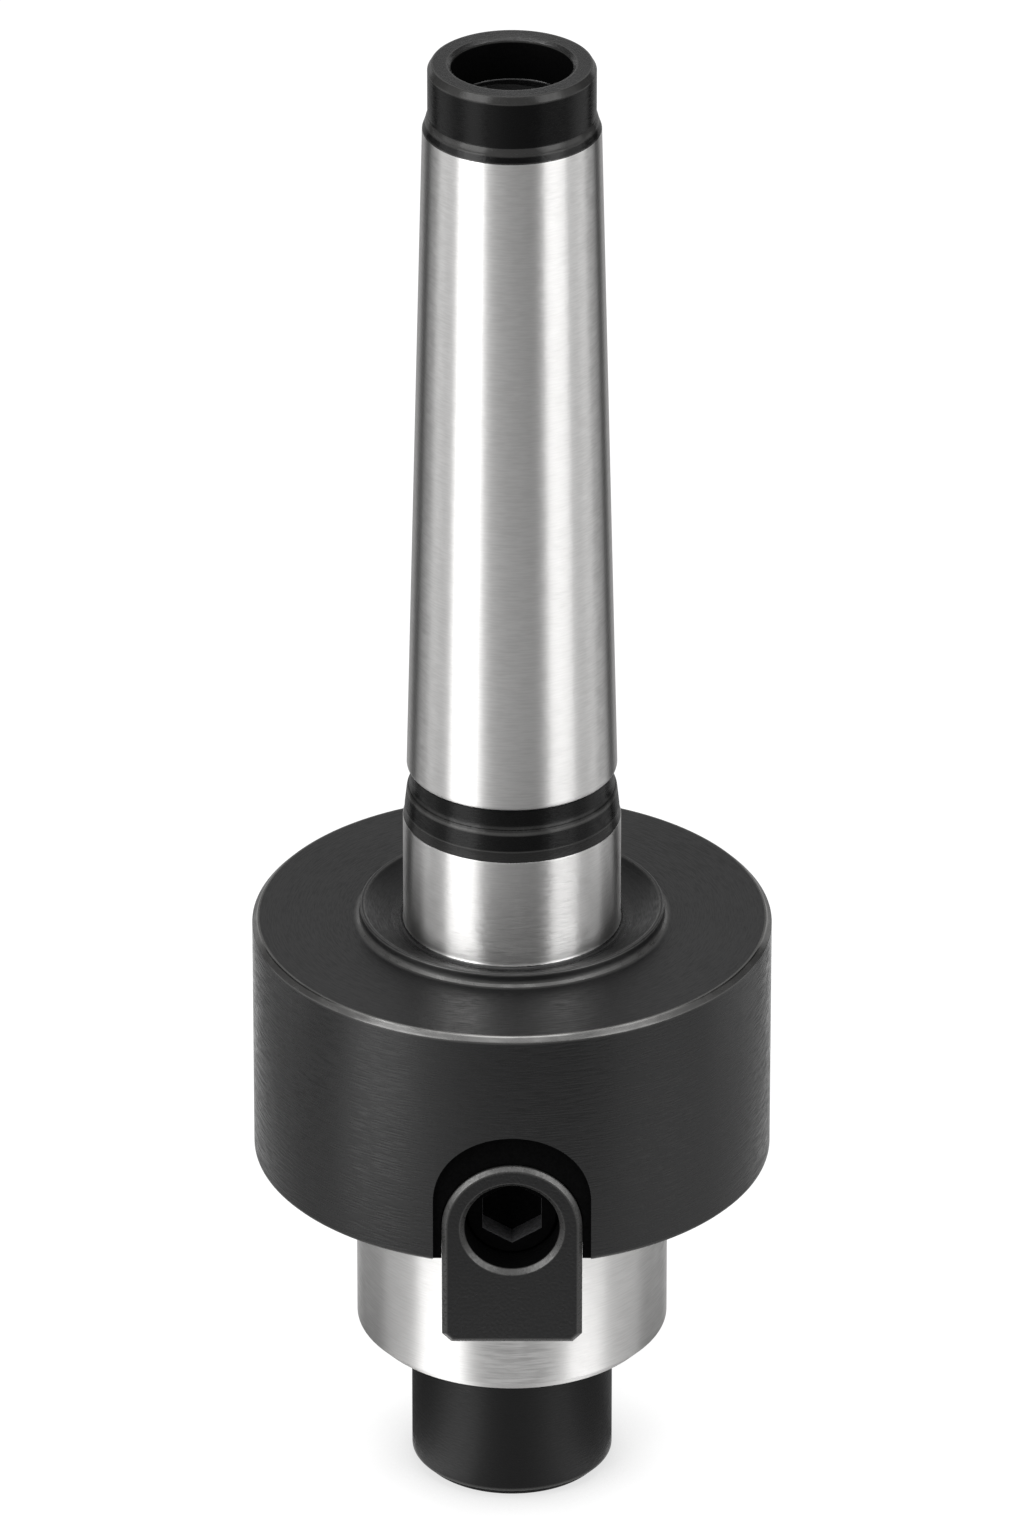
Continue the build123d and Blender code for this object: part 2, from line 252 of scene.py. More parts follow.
@dataclass
class Skin:
    """A closed surface made of rings round an axis, gathered ring by ring as whole arrays.

    Attributes:
        angles: the direction of each point of a ring, in radians.
        points: gathered points, as arrays of rows x, y, z, wear.
        faces: gathered faces, as arrays with one row of point numbers each.
        last: point numbers of the newest ring.
        count: how many points have been gathered.
    """

    angles: np.ndarray
    points: list[np.ndarray] = field(default_factory=list)
    faces: list[np.ndarray] = field(default_factory=list)
    last: np.ndarray | None = None
    count: int = 0

    @classmethod
    def even(cls, columns: int) -> "Skin":
        """A skin whose rings have this many points, at even angles."""
        return cls(np.arange(columns) * 2 * math.pi / columns)

    def gather(self, grid: np.ndarray) -> np.ndarray:
        """Stores a grid of points.

        Args:
            grid: rings by points by x, y, z, wear.

        Returns:
            The point numbers, in the grid's shape.
        """
        numbers = self.count + np.arange(grid.shape[0] * grid.shape[1]).reshape(grid.shape[:2])
        self.points.append(grid.reshape(-1, 4))
        self.count += numbers.size
        return numbers

    def join(self, rows: np.ndarray) -> None:
        """Lays quads between neighbouring rings, each ring closed on itself."""
        lower, upper = rows[:-1], rows[1:]
        quads = [lower, np.roll(lower, -1, axis=1), np.roll(upper, -1, axis=1), upper]
        self.faces.append(np.stack(quads, axis=-1).reshape(-1, 4))

    def rings(self, grid: np.ndarray) -> None:
        """Adds rings given as a grid and joins them to the newest ring."""
        numbers = self.gather(grid)
        self.join(numbers if self.last is None else np.concatenate([self.last[None], numbers]))
        self.last = numbers[-1]

    def spread(self, reach: np.ndarray, height: np.ndarray, wear: np.ndarray) -> np.ndarray:
        """A grid of points at the given distances along the ring's directions, with height and wear."""
        ones = np.ones((len(height), len(self.angles)))
        grid = [reach * np.cos(self.angles), reach * np.sin(self.angles), height * ones, wear * ones]
        return np.stack(grid, axis=-1)

    def turned(self, profile: np.ndarray) -> None:
        """Adds a surface of revolution: each row r, z, wear sweeps the circle of radius r at height z."""
        self.rings(self.spread(*profile.T[:, :, None]))

    def shaped(self, reach: np.ndarray, height: np.ndarray, wear: np.ndarray) -> None:
        """Adds rings that aren't round, from each point's reach and each ring's height and wear."""
        self.rings(self.spread(reach, height[:, None], wear[:, None]))

    def pole(self, height: float) -> None:
        """Closes the surface on the axis with a fan from the newest ring, or starts it there.

        Args:
            height: height of the point on the axis.
        """
        number = self.gather(np.array([[[0.0, 0.0, height, 0.0]]]))[0, 0]
        if self.last is None:
            self.last = np.full(len(self.angles), number)
            return
        fan = [np.full_like(self.last, number), self.last, np.roll(self.last, -1)]
        self.faces.append(np.stack(fan, axis=-1))

    def threaded(self, thread: Thread, low: float, high: float, upwards: bool) -> None:
        """Adds a thread between two heights, and joins it to the newest ring.

        The rings climb one pitch a turn: a ring's height is its start plus the pitch times the share of
        a turn, so the crest and the root each keep to one ring. Heights are held between low and high,
        where the rings fall together and are merged later.

        Args:
            thread: the thread's form.
            low: height where it begins.
            high: height where it ends.
            upwards: whether the surface is being gathered towards high.
        """
        phases = thread.phases()
        turns = math.ceil((high - low) / thread.pitch) + 2
        start = np.concatenate([phases + turn for turn in range(turns)]) + low / thread.pitch - 1
        share = self.angles / (2 * math.pi)
        height = np.clip(thread.pitch * (start[:, None] + share[None]), low, high)
        ridge = np.tile(thread.ridge(phases), turns)[:, None] * np.ones_like(share)[None]
        reach, wear = thread.reach(ridge, height, low, high)
        numbers = self.gather(self.spread(reach, height, wear))
        across = [numbers[:-1, :-1], numbers[:-1, 1:], numbers[1:, 1:], numbers[1:, :-1]]
        self.faces.append(np.stack(across, axis=-1).reshape(-1, 4))
        step = len(phases)
        seam = [numbers[: -step - 1, -1], numbers[step:-1, 0], numbers[step + 1 :, 0], numbers[1:-step, -1]]
        self.faces.append(np.stack(seam, axis=-1))
        first, final = (numbers[0], numbers[-1]) if upwards else (numbers[-1], numbers[0])
        self.join(np.stack([self.last, first]))
        self.last = final

    def mesh(self, name: str, scale: float = MM) -> Mesh:
        """Makes the closed mesh: doubles merged, flat remains dissolved and faces turned outwards.

        Args:
            name: the mesh's name.
            scale: metres for one unit of the gathered points.

        Returns:
            The mesh, with the wear as a point attribute.
        """
        points = np.concatenate(self.points)
        data = bpy.data.meshes.new(name)
        data.from_pydata(points[:, :3], [], [row for block in self.faces for row in block.tolist()])
        layer = data.attributes.new(WEAR_ATTRIBUTE, "FLOAT", "POINT")
        layer.data.foreach_set("value", points[:, 3].astype(np.float32))
        work = bmesh.new()
        work.from_mesh(data)
        bmesh.ops.remove_doubles(work, verts=work.verts, dist=2 * SAME_POINT)
        bmesh.ops.dissolve_degenerate(work, edges=work.edges, dist=SAME_POINT)
        bmesh.ops.recalc_face_normals(work, faces=work.faces)
        bmesh.ops.scale(work, verts=work.verts, vec=(scale, scale, scale))
        work.to_mesh(data)
        work.free()
        return data


def middles(mesh: Mesh) -> np.ndarray:
    """The middles of a mesh's faces, in millimetres, as rows x, y and z."""
    flat = np.zeros(len(mesh.polygons) * 3, np.float32)
    mesh.polygons.foreach_get("center", flat)
    return flat.reshape(-1, 3).T / MM


def paint(mesh: Mesh, materials: tuple[Material, ...], finish: np.ndarray) -> None:
    """Gives the mesh its materials, and each face the number of its own."""
    for material in materials:
        mesh.materials.append(material)
    mesh.polygons.foreach_set("material_index", finish.astype(np.int32))


def link(name: str, data: ID) -> Object:
    """Puts data into the scene as an object at the origin."""
    made = bpy.data.objects.new(name, data)
    bpy.context.scene.collection.objects.link(made)
    return made


def put_piece(name: str, mesh: Mesh, body: str, stands_for: str) -> None:
    """Puts a mesh into the scene as a piece of the arbor, smooth but for its sharp edges.

    Args:
        name: name of the piece.
        mesh: its mesh, in metres.
        body: the body that it rides on.
        stands_for: the solid that it replaces.
    """
    mesh.shade_smooth()
    mesh.set_sharp_from_angle(angle=math.radians(SHARP_ANGLE))
    piece = link(name, mesh)
    weights = piece.modifiers.new("Even shading", "WEIGHTED_NORMAL")
    weights.mode = "FACE_AREA"
    weights.keep_sharp = True
    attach(piece, body)
    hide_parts(stands_for)
    log.info("%s: %d faces, rides on %s, stands for %s", name, len(mesh.polygons), body, stands_for)


# Shader building


class Nodes:
    """A short way to place and link the nodes of one shader tree."""

    def __init__(self, tree: NodeTree) -> None:
        """Empties the tree and keeps it."""
        self.tree = tree
        tree.nodes.clear()

    def put(self, kind: str, links: dict | None = None, **values: object) -> Node:
        """Places a node.

        Args:
            kind: the node's type, without ShaderNode before it.
            links: for each input, by name or number, the socket or plain value that it gets.
            values: properties of the node.

        Returns:
            The node.
        """
        node = self.tree.nodes.new(kind if kind.startswith("NodeGroup") else f"ShaderNode{kind}")
        for key, value in values.items():
            setattr(node, key, value)
        for key, value in (links or {}).items():
            if isinstance(value, NodeSocket):
                self.tree.links.new(value, node.inputs[key])
            else:
                node.inputs[key].default_value = value
        return node

    def math(self, operation: str, *inputs: object) -> NodeSocket:
        """Output of a math node on the given inputs."""
        return self.put("Math", dict(enumerate(inputs)), operation=operation).outputs[0]

    def vector(self, operation: str, links: dict) -> Node:
        """A vector math node with the given inputs."""
        return self.put("VectorMath", links, operation=operation)

    def place(self) -> NodeSocket:
        """The Object coordinates."""
        return self.put("TexCoord").outputs["Object"]

    def noise(self, place: NodeSocket, scale: object, detail: float) -> NodeSocket:
        """Value of a noise, read at a point."""
        return self.put("TexNoise", {"Vector": place, "Scale": scale, "Detail": detail}).outputs[0]

    def bump(self, strength: float, height: NodeSocket) -> NodeSocket:
        """Normal of a surface raised by a height."""
        return self.put("Bump", {"Strength": strength, "Distance": BUMP_DEPTH, "Height": height}).outputs[0]

    def ramp(self, value: object, low: float, high: float, first: float = 0, last: float = 1) -> NodeSocket:
        """A value spread smoothly from one range to another.

        Args:
            value: the socket that is read.
            low: value that gives the first result.
            high: value that gives the last result.
            first: result at and under low.
            last: result at and over high.

        Returns:
            The spread value.
        """
        links = {0: value, 1: low, 2: high, 3: first, 4: last}
        return self.put("MapRange", links, interpolation_type="SMOOTHSTEP").outputs[0]

    def blend(self, share: object, first: object, second: object) -> NodeSocket:
        """Mix of two colours, where the share says how much of the second one shows."""
        return self.put("Mix", {0: share, 6: first, 7: second}, data_type="RGBA").outputs[2]

    def around(self) -> NodeSocket:
        """The direction round the arbor's axis, as the cross product of Z and the Object coordinates."""
        upright = self.vector("CROSS_PRODUCT", {0: (0.0, 0.0, 1.0), 1: self.place()})
        return self.vector("NORMALIZE", {0: upright.outputs[0]}).outputs[0]

    def end(self, shader: Node) -> None:
        """Sends a shader to the material's or world's output."""
        kind = "OutputWorld" if shader.type == "BACKGROUND" else "OutputMaterial"
        self.put(kind, {0: shader.outputs[0]})


def new_material(name: str) -> tuple[Material, Nodes]:
    """A new material and its emptied shader tree."""
    made = bpy.data.materials.new(name)
    made.use_nodes = True
    return made, Nodes(made.node_tree)


def new_group(name: str, inputs: dict[str, float], outputs: tuple[str, ...]) -> tuple[Nodes, Node]:
    """Makes a shader group with named sockets.

    Args:
        name: the group's name.
        inputs: each input with its usual value.
        outputs: the outputs, which are plain values.

    Returns:
        The group's empty tree and the node that gives its inputs.
    """
    tree = bpy.data.node_groups.new(name, "ShaderNodeTree")
    for label, value in inputs.items():
        socket = tree.interface.new_socket(label, in_out="INPUT", socket_type="NodeSocketFloat")
        socket.default_value = value
    for label in outputs:
        tree.interface.new_socket(label, in_out="OUTPUT", socket_type="NodeSocketFloat")
    nodes = Nodes(tree)
    return nodes, nodes.put("NodeGroupInput")


def turning_marks() -> NodeTree:
    """Builds the group that gives the fine marks of turning and grinding, which run round the axis.

    A noise is read at the point (cos t, sin t) times Length beside (z + 1.3 r) times Fineness, where t is
    the angle round the axis, so it is drawn out along the circles on cylinders and faces alike.

    Returns:
        The group, with outputs Marks for single lines and Bands for broad uneven rings, both 0 to 1.
    """
    inputs = {"Fineness": 9000.0, "Length": 3.0, "Band fineness": 700.0}
    nodes, given = new_group("Turning marks", inputs, ("Marks", "Bands"))
    split = nodes.put("SeparateXYZ", {0: nodes.place()})
    flat = nodes.put("CombineXYZ", {0: split.outputs[0], 1: split.outputs[1]}).outputs[0]
    radius = nodes.vector("LENGTH", {0: flat}).outputs["Value"]
    unit = nodes.vector("NORMALIZE", {0: flat}).outputs[0]
    round_axis = nodes.vector("SCALE", {0: unit, "Scale": given.outputs["Length"]})
    turned = nodes.put("SeparateXYZ", {0: round_axis.outputs[0]})
    along = nodes.math("ADD", split.outputs[2], nodes.math("MULTIPLY", radius, 1.3))
    results = []
    for label, detail in (("Fineness", 2.0), ("Band fineness", 1.0)):
        depth = nodes.math("MULTIPLY", along, given.outputs[label])
        point = nodes.put("CombineXYZ", {0: turned.outputs[0], 1: turned.outputs[1], 2: depth})
        results.append(nodes.ramp(nodes.noise(point.outputs[0], 1.0, detail), *NOISE_SPAN))
    nodes.put("NodeGroupOutput", dict(enumerate(results)))
    return nodes.tree


def worn_edges() -> NodeTree:
    """Builds the group that breaks up the wear along the edges.

    The piece's own edge attribute is multiplied by a noise, so that wear comes and goes along an edge.

    Returns:
        The group, with an output Wear from 0 to 1.
    """
    nodes, given = new_group("Worn edges", {"Patch size": 420.0}, ("Wear",))
    edge = nodes.put("Attribute", attribute_name=WEAR_ATTRIBUTE).outputs["Fac"]
    patches = nodes.ramp(nodes.noise(nodes.place(), given.outputs["Patch size"], 3.0), *PATCH_SPAN)
    nodes.put("NodeGroupOutput", {0: nodes.math("MULTIPLY", edge, patches)})
    return nodes.tree


def handled_surface() -> NodeTree:
    """Builds the group for the faint cloudiness of an oiled and handled surface.

    Two noises of different size are added, both read at the Object coordinates.

    Returns:
        The group, with an output Cloud from 0 to 1.
    """
    nodes, given = new_group("Handled surface", {"Cloud size": 60.0}, ("Cloud",))
    size = given.outputs["Cloud size"]
    wide = nodes.noise(nodes.place(), size, 3.0)
    fine = nodes.noise(nodes.place(), nodes.math("MULTIPLY", size, 18.0), 2.0)
    nodes.put("NodeGroupOutput", {0: nodes.ramp(nodes.math("ADD", wide, fine), *CLOUD_SPAN)})
    return nodes.tree


# Finishes


@dataclass(frozen=True)
class Groups:
    """The shader groups that the finishes share."""

    marks: NodeTree
    cloud: NodeTree
    wear: NodeTree


@dataclass(frozen=True)
class Steel:
    """What the finishes of the arbor's steel share, with the values of ground steel.

    Attributes:
        name: name of the material.
        roughness: middle roughness.
        play: how far the marks change the roughness.
        cloud_play: how far the cloud changes it.
        marks_share: share of the fine marks in the colour, beside what else shades it.
        anisotropy: how far the lobe is spread across the marks.
        grain: strength of the bump.
        fineness: closeness of the turning marks.
        length: shortness of the turning marks along their circle.
    """

    name: str
    roughness: float = 0.33
    play: float = 0.08
    cloud_play: float = 0.04
    marks_share: float = 0.75
    anisotropy: float = 1.0
    grain: float = 0.2
    fineness: float = 7500.0
    length: float = 6.5

    def lines(self, nodes: Nodes, groups: Groups) -> Node:
        """The group of turning marks, at this finish's fineness and length."""
        links = {"Fineness": self.fineness, "Length": self.length}
        return nodes.put("Group", links, node_tree=groups.marks)

    def mixed(self, nodes: Nodes, texture: NodeSocket, other: NodeSocket) -> NodeSocket:
        """The marks and another shading, added by the marks' share."""
        rest = nodes.math("MULTIPLY", other, 1 - self.marks_share)
        return nodes.math("ADD", nodes.math("MULTIPLY", texture, self.marks_share), rest)

    def rough(self, nodes: Nodes, texture: NodeSocket, cloud: NodeSocket) -> NodeSocket:
        """The roughness, with the marks' and the cloud's part in it."""
        marked = nodes.math("MULTIPLY_ADD", texture, self.play, self.roughness - self.play / 2)
        return nodes.math("MULTIPLY_ADD", cloud, self.cloud_play, marked)

    def brushed(self, nodes: Nodes) -> dict:
        """The shader's inputs that spread its lobe across marks that run round the axis."""
        links = {"Anisotropic": self.anisotropy, "Anisotropic Rotation": ALONG_MARKS}
        return links | {"Tangent": nodes.around()}


@dataclass(frozen=True)
class GroundSteel(Steel):
    """Bright steel ground round the axis: fine marks, a lobe spread along the axis and soft uneven rings.

    Attributes:
        light: colour between the marks.
        dark: colour in the marks.
    """

    light: tuple[float, float, float, float] = (0.68, 0.675, 0.668, 1.0)
    dark: tuple[float, float, float, float] = (0.60, 0.595, 0.588, 1.0)

    def material(self, groups: Groups) -> Material:
        """Makes the material.

        Args:
            groups: the shared groups.

        Returns:
            The material.
        """
        made, nodes = new_material(self.name)
        cloud = nodes.put("Group", node_tree=groups.cloud).outputs["Cloud"]
        lines = self.lines(nodes, groups)
        marks = lines.outputs["Marks"]
        shade = self.mixed(nodes, marks, lines.outputs["Bands"])
        links = {
            "Base Color": nodes.blend(shade, self.light, self.dark),
            "Metallic": 1.0,
            "Roughness": self.rough(nodes, marks, cloud),
            "Normal": nodes.bump(self.grain, marks),
        }
        nodes.end(nodes.put("BsdfPrincipled", links | self.brushed(nodes)))
        return made


@dataclass(frozen=True)
class BlackOxide(Steel):
    """Satin black oxide on steel, with the steel faintly bare along the edges.

    Attributes:
        turned: whether the surface under it was turned round the arbor's axis.
        shade: factor on both oxide colours.
        light: oxide colour between the marks.
        dark: oxide colour in the marks.
        blue: factor on the blue of the oxide.
        bare: colour of the steel where the oxide is thin.
        grit: closeness of the grain where the surface wasn't turned.
        specular: strength of the reflection, where 0.5 is glass.
        bareness: steel that shows for a wear of 1, before it is held at 1.
        polish: share of the roughness that bare steel loses.
        calm: how fast wear takes the bump away.
        calm_most: the most of the bump that it takes.
    """

    roughness: float = 0.27
    play: float = 0.2
    cloud_play: float = 0.06
    marks_share: float = 0.6
    anisotropy: float = 0.2
    grain: float = 0.44
    length: float = 13.0
    turned: bool = True
    shade: float = 1.0
    light: float = 0.008
    dark: float = 0.003
    blue: float = 1.04
    bare: tuple[float, float, float, float] = (0.50, 0.495, 0.485, 1.0)
    grit: float = 3600.0
    specular: float = 0.48
    bareness: float = 3.0
    polish: float = 0.45
    calm: float = 6.0
    calm_most: float = 0.85

    def texture(self, nodes: Nodes, groups: Groups) -> NodeSocket:
        """The surface's marks from 0 to 1: turning marks round the axis, or a plain grain."""
        if self.turned:
            return self.lines(nodes, groups).outputs["Marks"]
        return nodes.ramp(nodes.noise(nodes.place(), self.grit, 2.0), *NOISE_SPAN)

    def material(self, groups: Groups) -> Material:
        """Makes the material.

        Args:
            groups: the shared groups.

        Returns:
            The material.
        """
        made, nodes = new_material(self.name)
        cloud = nodes.put("Group", node_tree=groups.cloud).outputs["Cloud"]
        wear = nodes.put("Group", node_tree=groups.wear).outputs["Wear"]
        texture = self.texture(nodes, groups)
        greys = (self.light * self.shade, self.dark * self.shade)
        tones = [(grey, grey, grey * self.blue, 1.0) for grey in greys]
        oxide = nodes.blend(self.mixed(nodes, texture, cloud), *tones)
        bared = nodes.math("MINIMUM", nodes.math("MULTIPLY", wear, self.bareness), 1.0)
        calmed = nodes.math("MINIMUM", nodes.math("MULTIPLY", wear, self.calm), self.calm_most)
        polished = nodes.math("MULTIPLY_ADD", bared, -self.polish, 1.0)
        height = nodes.math("MULTIPLY", texture, nodes.math("SUBTRACT", 1.0, calmed))
        links = {
            "Base Color": nodes.blend(wear, oxide, self.bare),
            "Metallic": bared,
            "Roughness": nodes.math("MULTIPLY", self.rough(nodes, texture, cloud), polished),
            "Specular IOR Level": self.specular,
            "Normal": nodes.bump(self.grain, height),
        }
        nodes.end(nodes.put("BsdfPrincipled", links | (self.brushed(nodes) if self.turned else {})))
        return made


@dataclass(frozen=True)
class Finishes:
    """The materials of the arbor, made once and shared."""

    ground: Material
    satin_black: Material
    smooth_black: Material
    milled_black: Material
    screw_black: Material
    # Near-black with almost no reflection: painted shade for recesses, holes and screw heads.
    painted_shade_black: Material
    dull_black: Material
    faced_black: Material
    # Lighter black for the key screws' socket walls: painted light on them.
    painted_light_black: Material

    @classmethod
    def make(cls) -> "Finishes":
        """Builds the shared groups and all the materials."""
        satin = BlackOxide("satin_black_oxide")
        plain = replace(satin, turned=False)
        smooth = replace(satin, name="smooth_black_oxide", shade=0.3, specular=0.2, roughness=0.26)
        smooth = replace(smooth, grain=0.3, anisotropy=1.0, play=0.1)
        milled = replace(plain, name="milled_black_oxide", specular=0.36, roughness=0.34, grain=0.9)
        screw = replace(smooth, name="screw_black_oxide", shade=0.6, specular=0.22, roughness=0.32)
        screw = replace(screw, grain=0.4, anisotropy=0.3)
        # Painted shade: near-black oxide with almost no reflection, for the recesses, holes and screw heads
        # that lie in shade.
        matt = replace(plain, name="painted_shade_black_oxide", shade=0.3, specular=0.03, roughness=0.6)
        dull = replace(smooth, name="dull_black_oxide", specular=0.17, roughness=0.24, anisotropy=0.5)
        faced = replace(satin, name="faced_black_oxide", roughness=0.38, specular=0.44, grain=0.2)
        faced = replace(faced, anisotropy=0.0)
        # Painted light: a black nine times lighter for the key screws' socket walls, standing for the light
        # that falls on them.
        painted_light_finish = replace(milled, name="painted_light_black_oxide", shade=9.0, specular=0.4, roughness=0.5)
        groups = Groups(turning_marks(), handled_surface(), worn_edges())
        steels = (GroundSteel("ground_steel"), satin, smooth, milled, screw, matt, dull, faced, painted_light_finish)
        return cls(*(steel.material(groups) for steel in steels))


# The arbor's body


def stand_key_upright(mesh: Mesh, side: Side, centre_z: float, scale: float) -> None:
    """Turns a mesh gathered along a key screw's axis into its place on the flange.

    Across, up and outwards become x, z and the side's y. On the back, x is turned over as well, so that
    nothing is mirrored.

    Args:
        mesh: the mesh, across in x, up in y and outwards in z.
        side: the side of the flange.
        centre_z: height of the key screw's axis in millimetres.
        scale: metres for a millimetre in the mesh.
    """
    flat = np.zeros(len(mesh.vertices) * 3, np.float32)
    mesh.vertices.foreach_get("co", flat)
    across, up, out = flat.reshape(-1, 3).T
    placed = np.stack([-side.value * across, side.value * out, up + centre_z * scale], axis=-1)
    mesh.vertices.foreach_set("co", placed.astype(np.float32).ravel())
    mesh.update()


@dataclass(frozen=True)
class KeySeat:
    """Where a drive key sits: the keyway, the open recess round it and the tapped hole behind it."""

    centre_z: float = KEY_AXIS_Z
    foot: float = 30.0
    back: float = KEY_BACK
    recess_floor: float = 20.9
    keyway_radius: float = 6.1
    keyway_half_width: float = 6.02
    recess_half_width: float = 6.75
    recess_centre_z: float = 36.7
    tap_radius: float = 2.5
    tap_floor: float = 8.95
    tap_point: float = 7.45
    outside: float = 24.0

    def outline(self, radius: float, half_width: float, centre_z: float) -> Pair:
        """An arch-topped outline that runs on below the flange.

        The straight part runs round the foot at even steps between its corners, and the arch is a half
        circle at even angles.

        Args:
            radius: the arch's radius.
            half_width: half the distance between the sides.
            centre_z: height of the arch's centre.

        Returns:
            The distances from the key screw's axis, across and up.
        """
        stops = np.concatenate([np.linspace(0, 1, 9), np.linspace(1, 2, 17)[1:], np.linspace(2, 3, 9)[1:]])
        across = np.interp(stops, range(4), [-half_width, -half_width, half_width, half_width])
        up = np.interp(stops, range(4), [centre_z, self.foot, self.foot, centre_z])
        angles = np.linspace(0, math.pi, 50)[1:-1]
        across = np.concatenate([across, radius * np.cos(angles)])
        up = np.concatenate([up, centre_z + radius * np.sin(angles)])
        return across, up - self.centre_z

    def plug(self, side: Side) -> Object:
        """The stepped solid that is cut out of the flange on one side, in millimetres.

        Its rings follow the key screw's axis outwards: the drill's point, the tapped hole, the keyway and
        the recess.

        Args:
            side: which side it is cut from.

        Returns:
            The solid, as an object of its own.
        """
        keyway = self.outline(self.keyway_radius, self.keyway_half_width, self.centre_z)
        recess = self.outline(self.recess_half_width, self.recess_half_width, self.recess_centre_z)
        angles = np.arctan2(keyway[1], keyway[0])
        hole = (self.tap_radius * np.cos(angles), self.tap_radius * np.sin(angles))
        shapes = (hole, hole, keyway, keyway, recess, recess)
        depths = (self.tap_floor, self.back, self.back, self.recess_floor, self.recess_floor, self.outside)
        steps = [(*shape, np.full_like(angles, out), 0 * angles) for shape, out in zip(shapes, depths)]
        skin = Skin(angles)
        skin.pole(self.tap_point)
        skin.rings(np.moveaxis(np.array(steps), 1, 2))
        skin.pole(self.outside)
        mesh = skin.mesh("plug", 1.0)
        stand_key_upright(mesh, side, self.centre_z, 1.0)
        return link("plug", mesh)


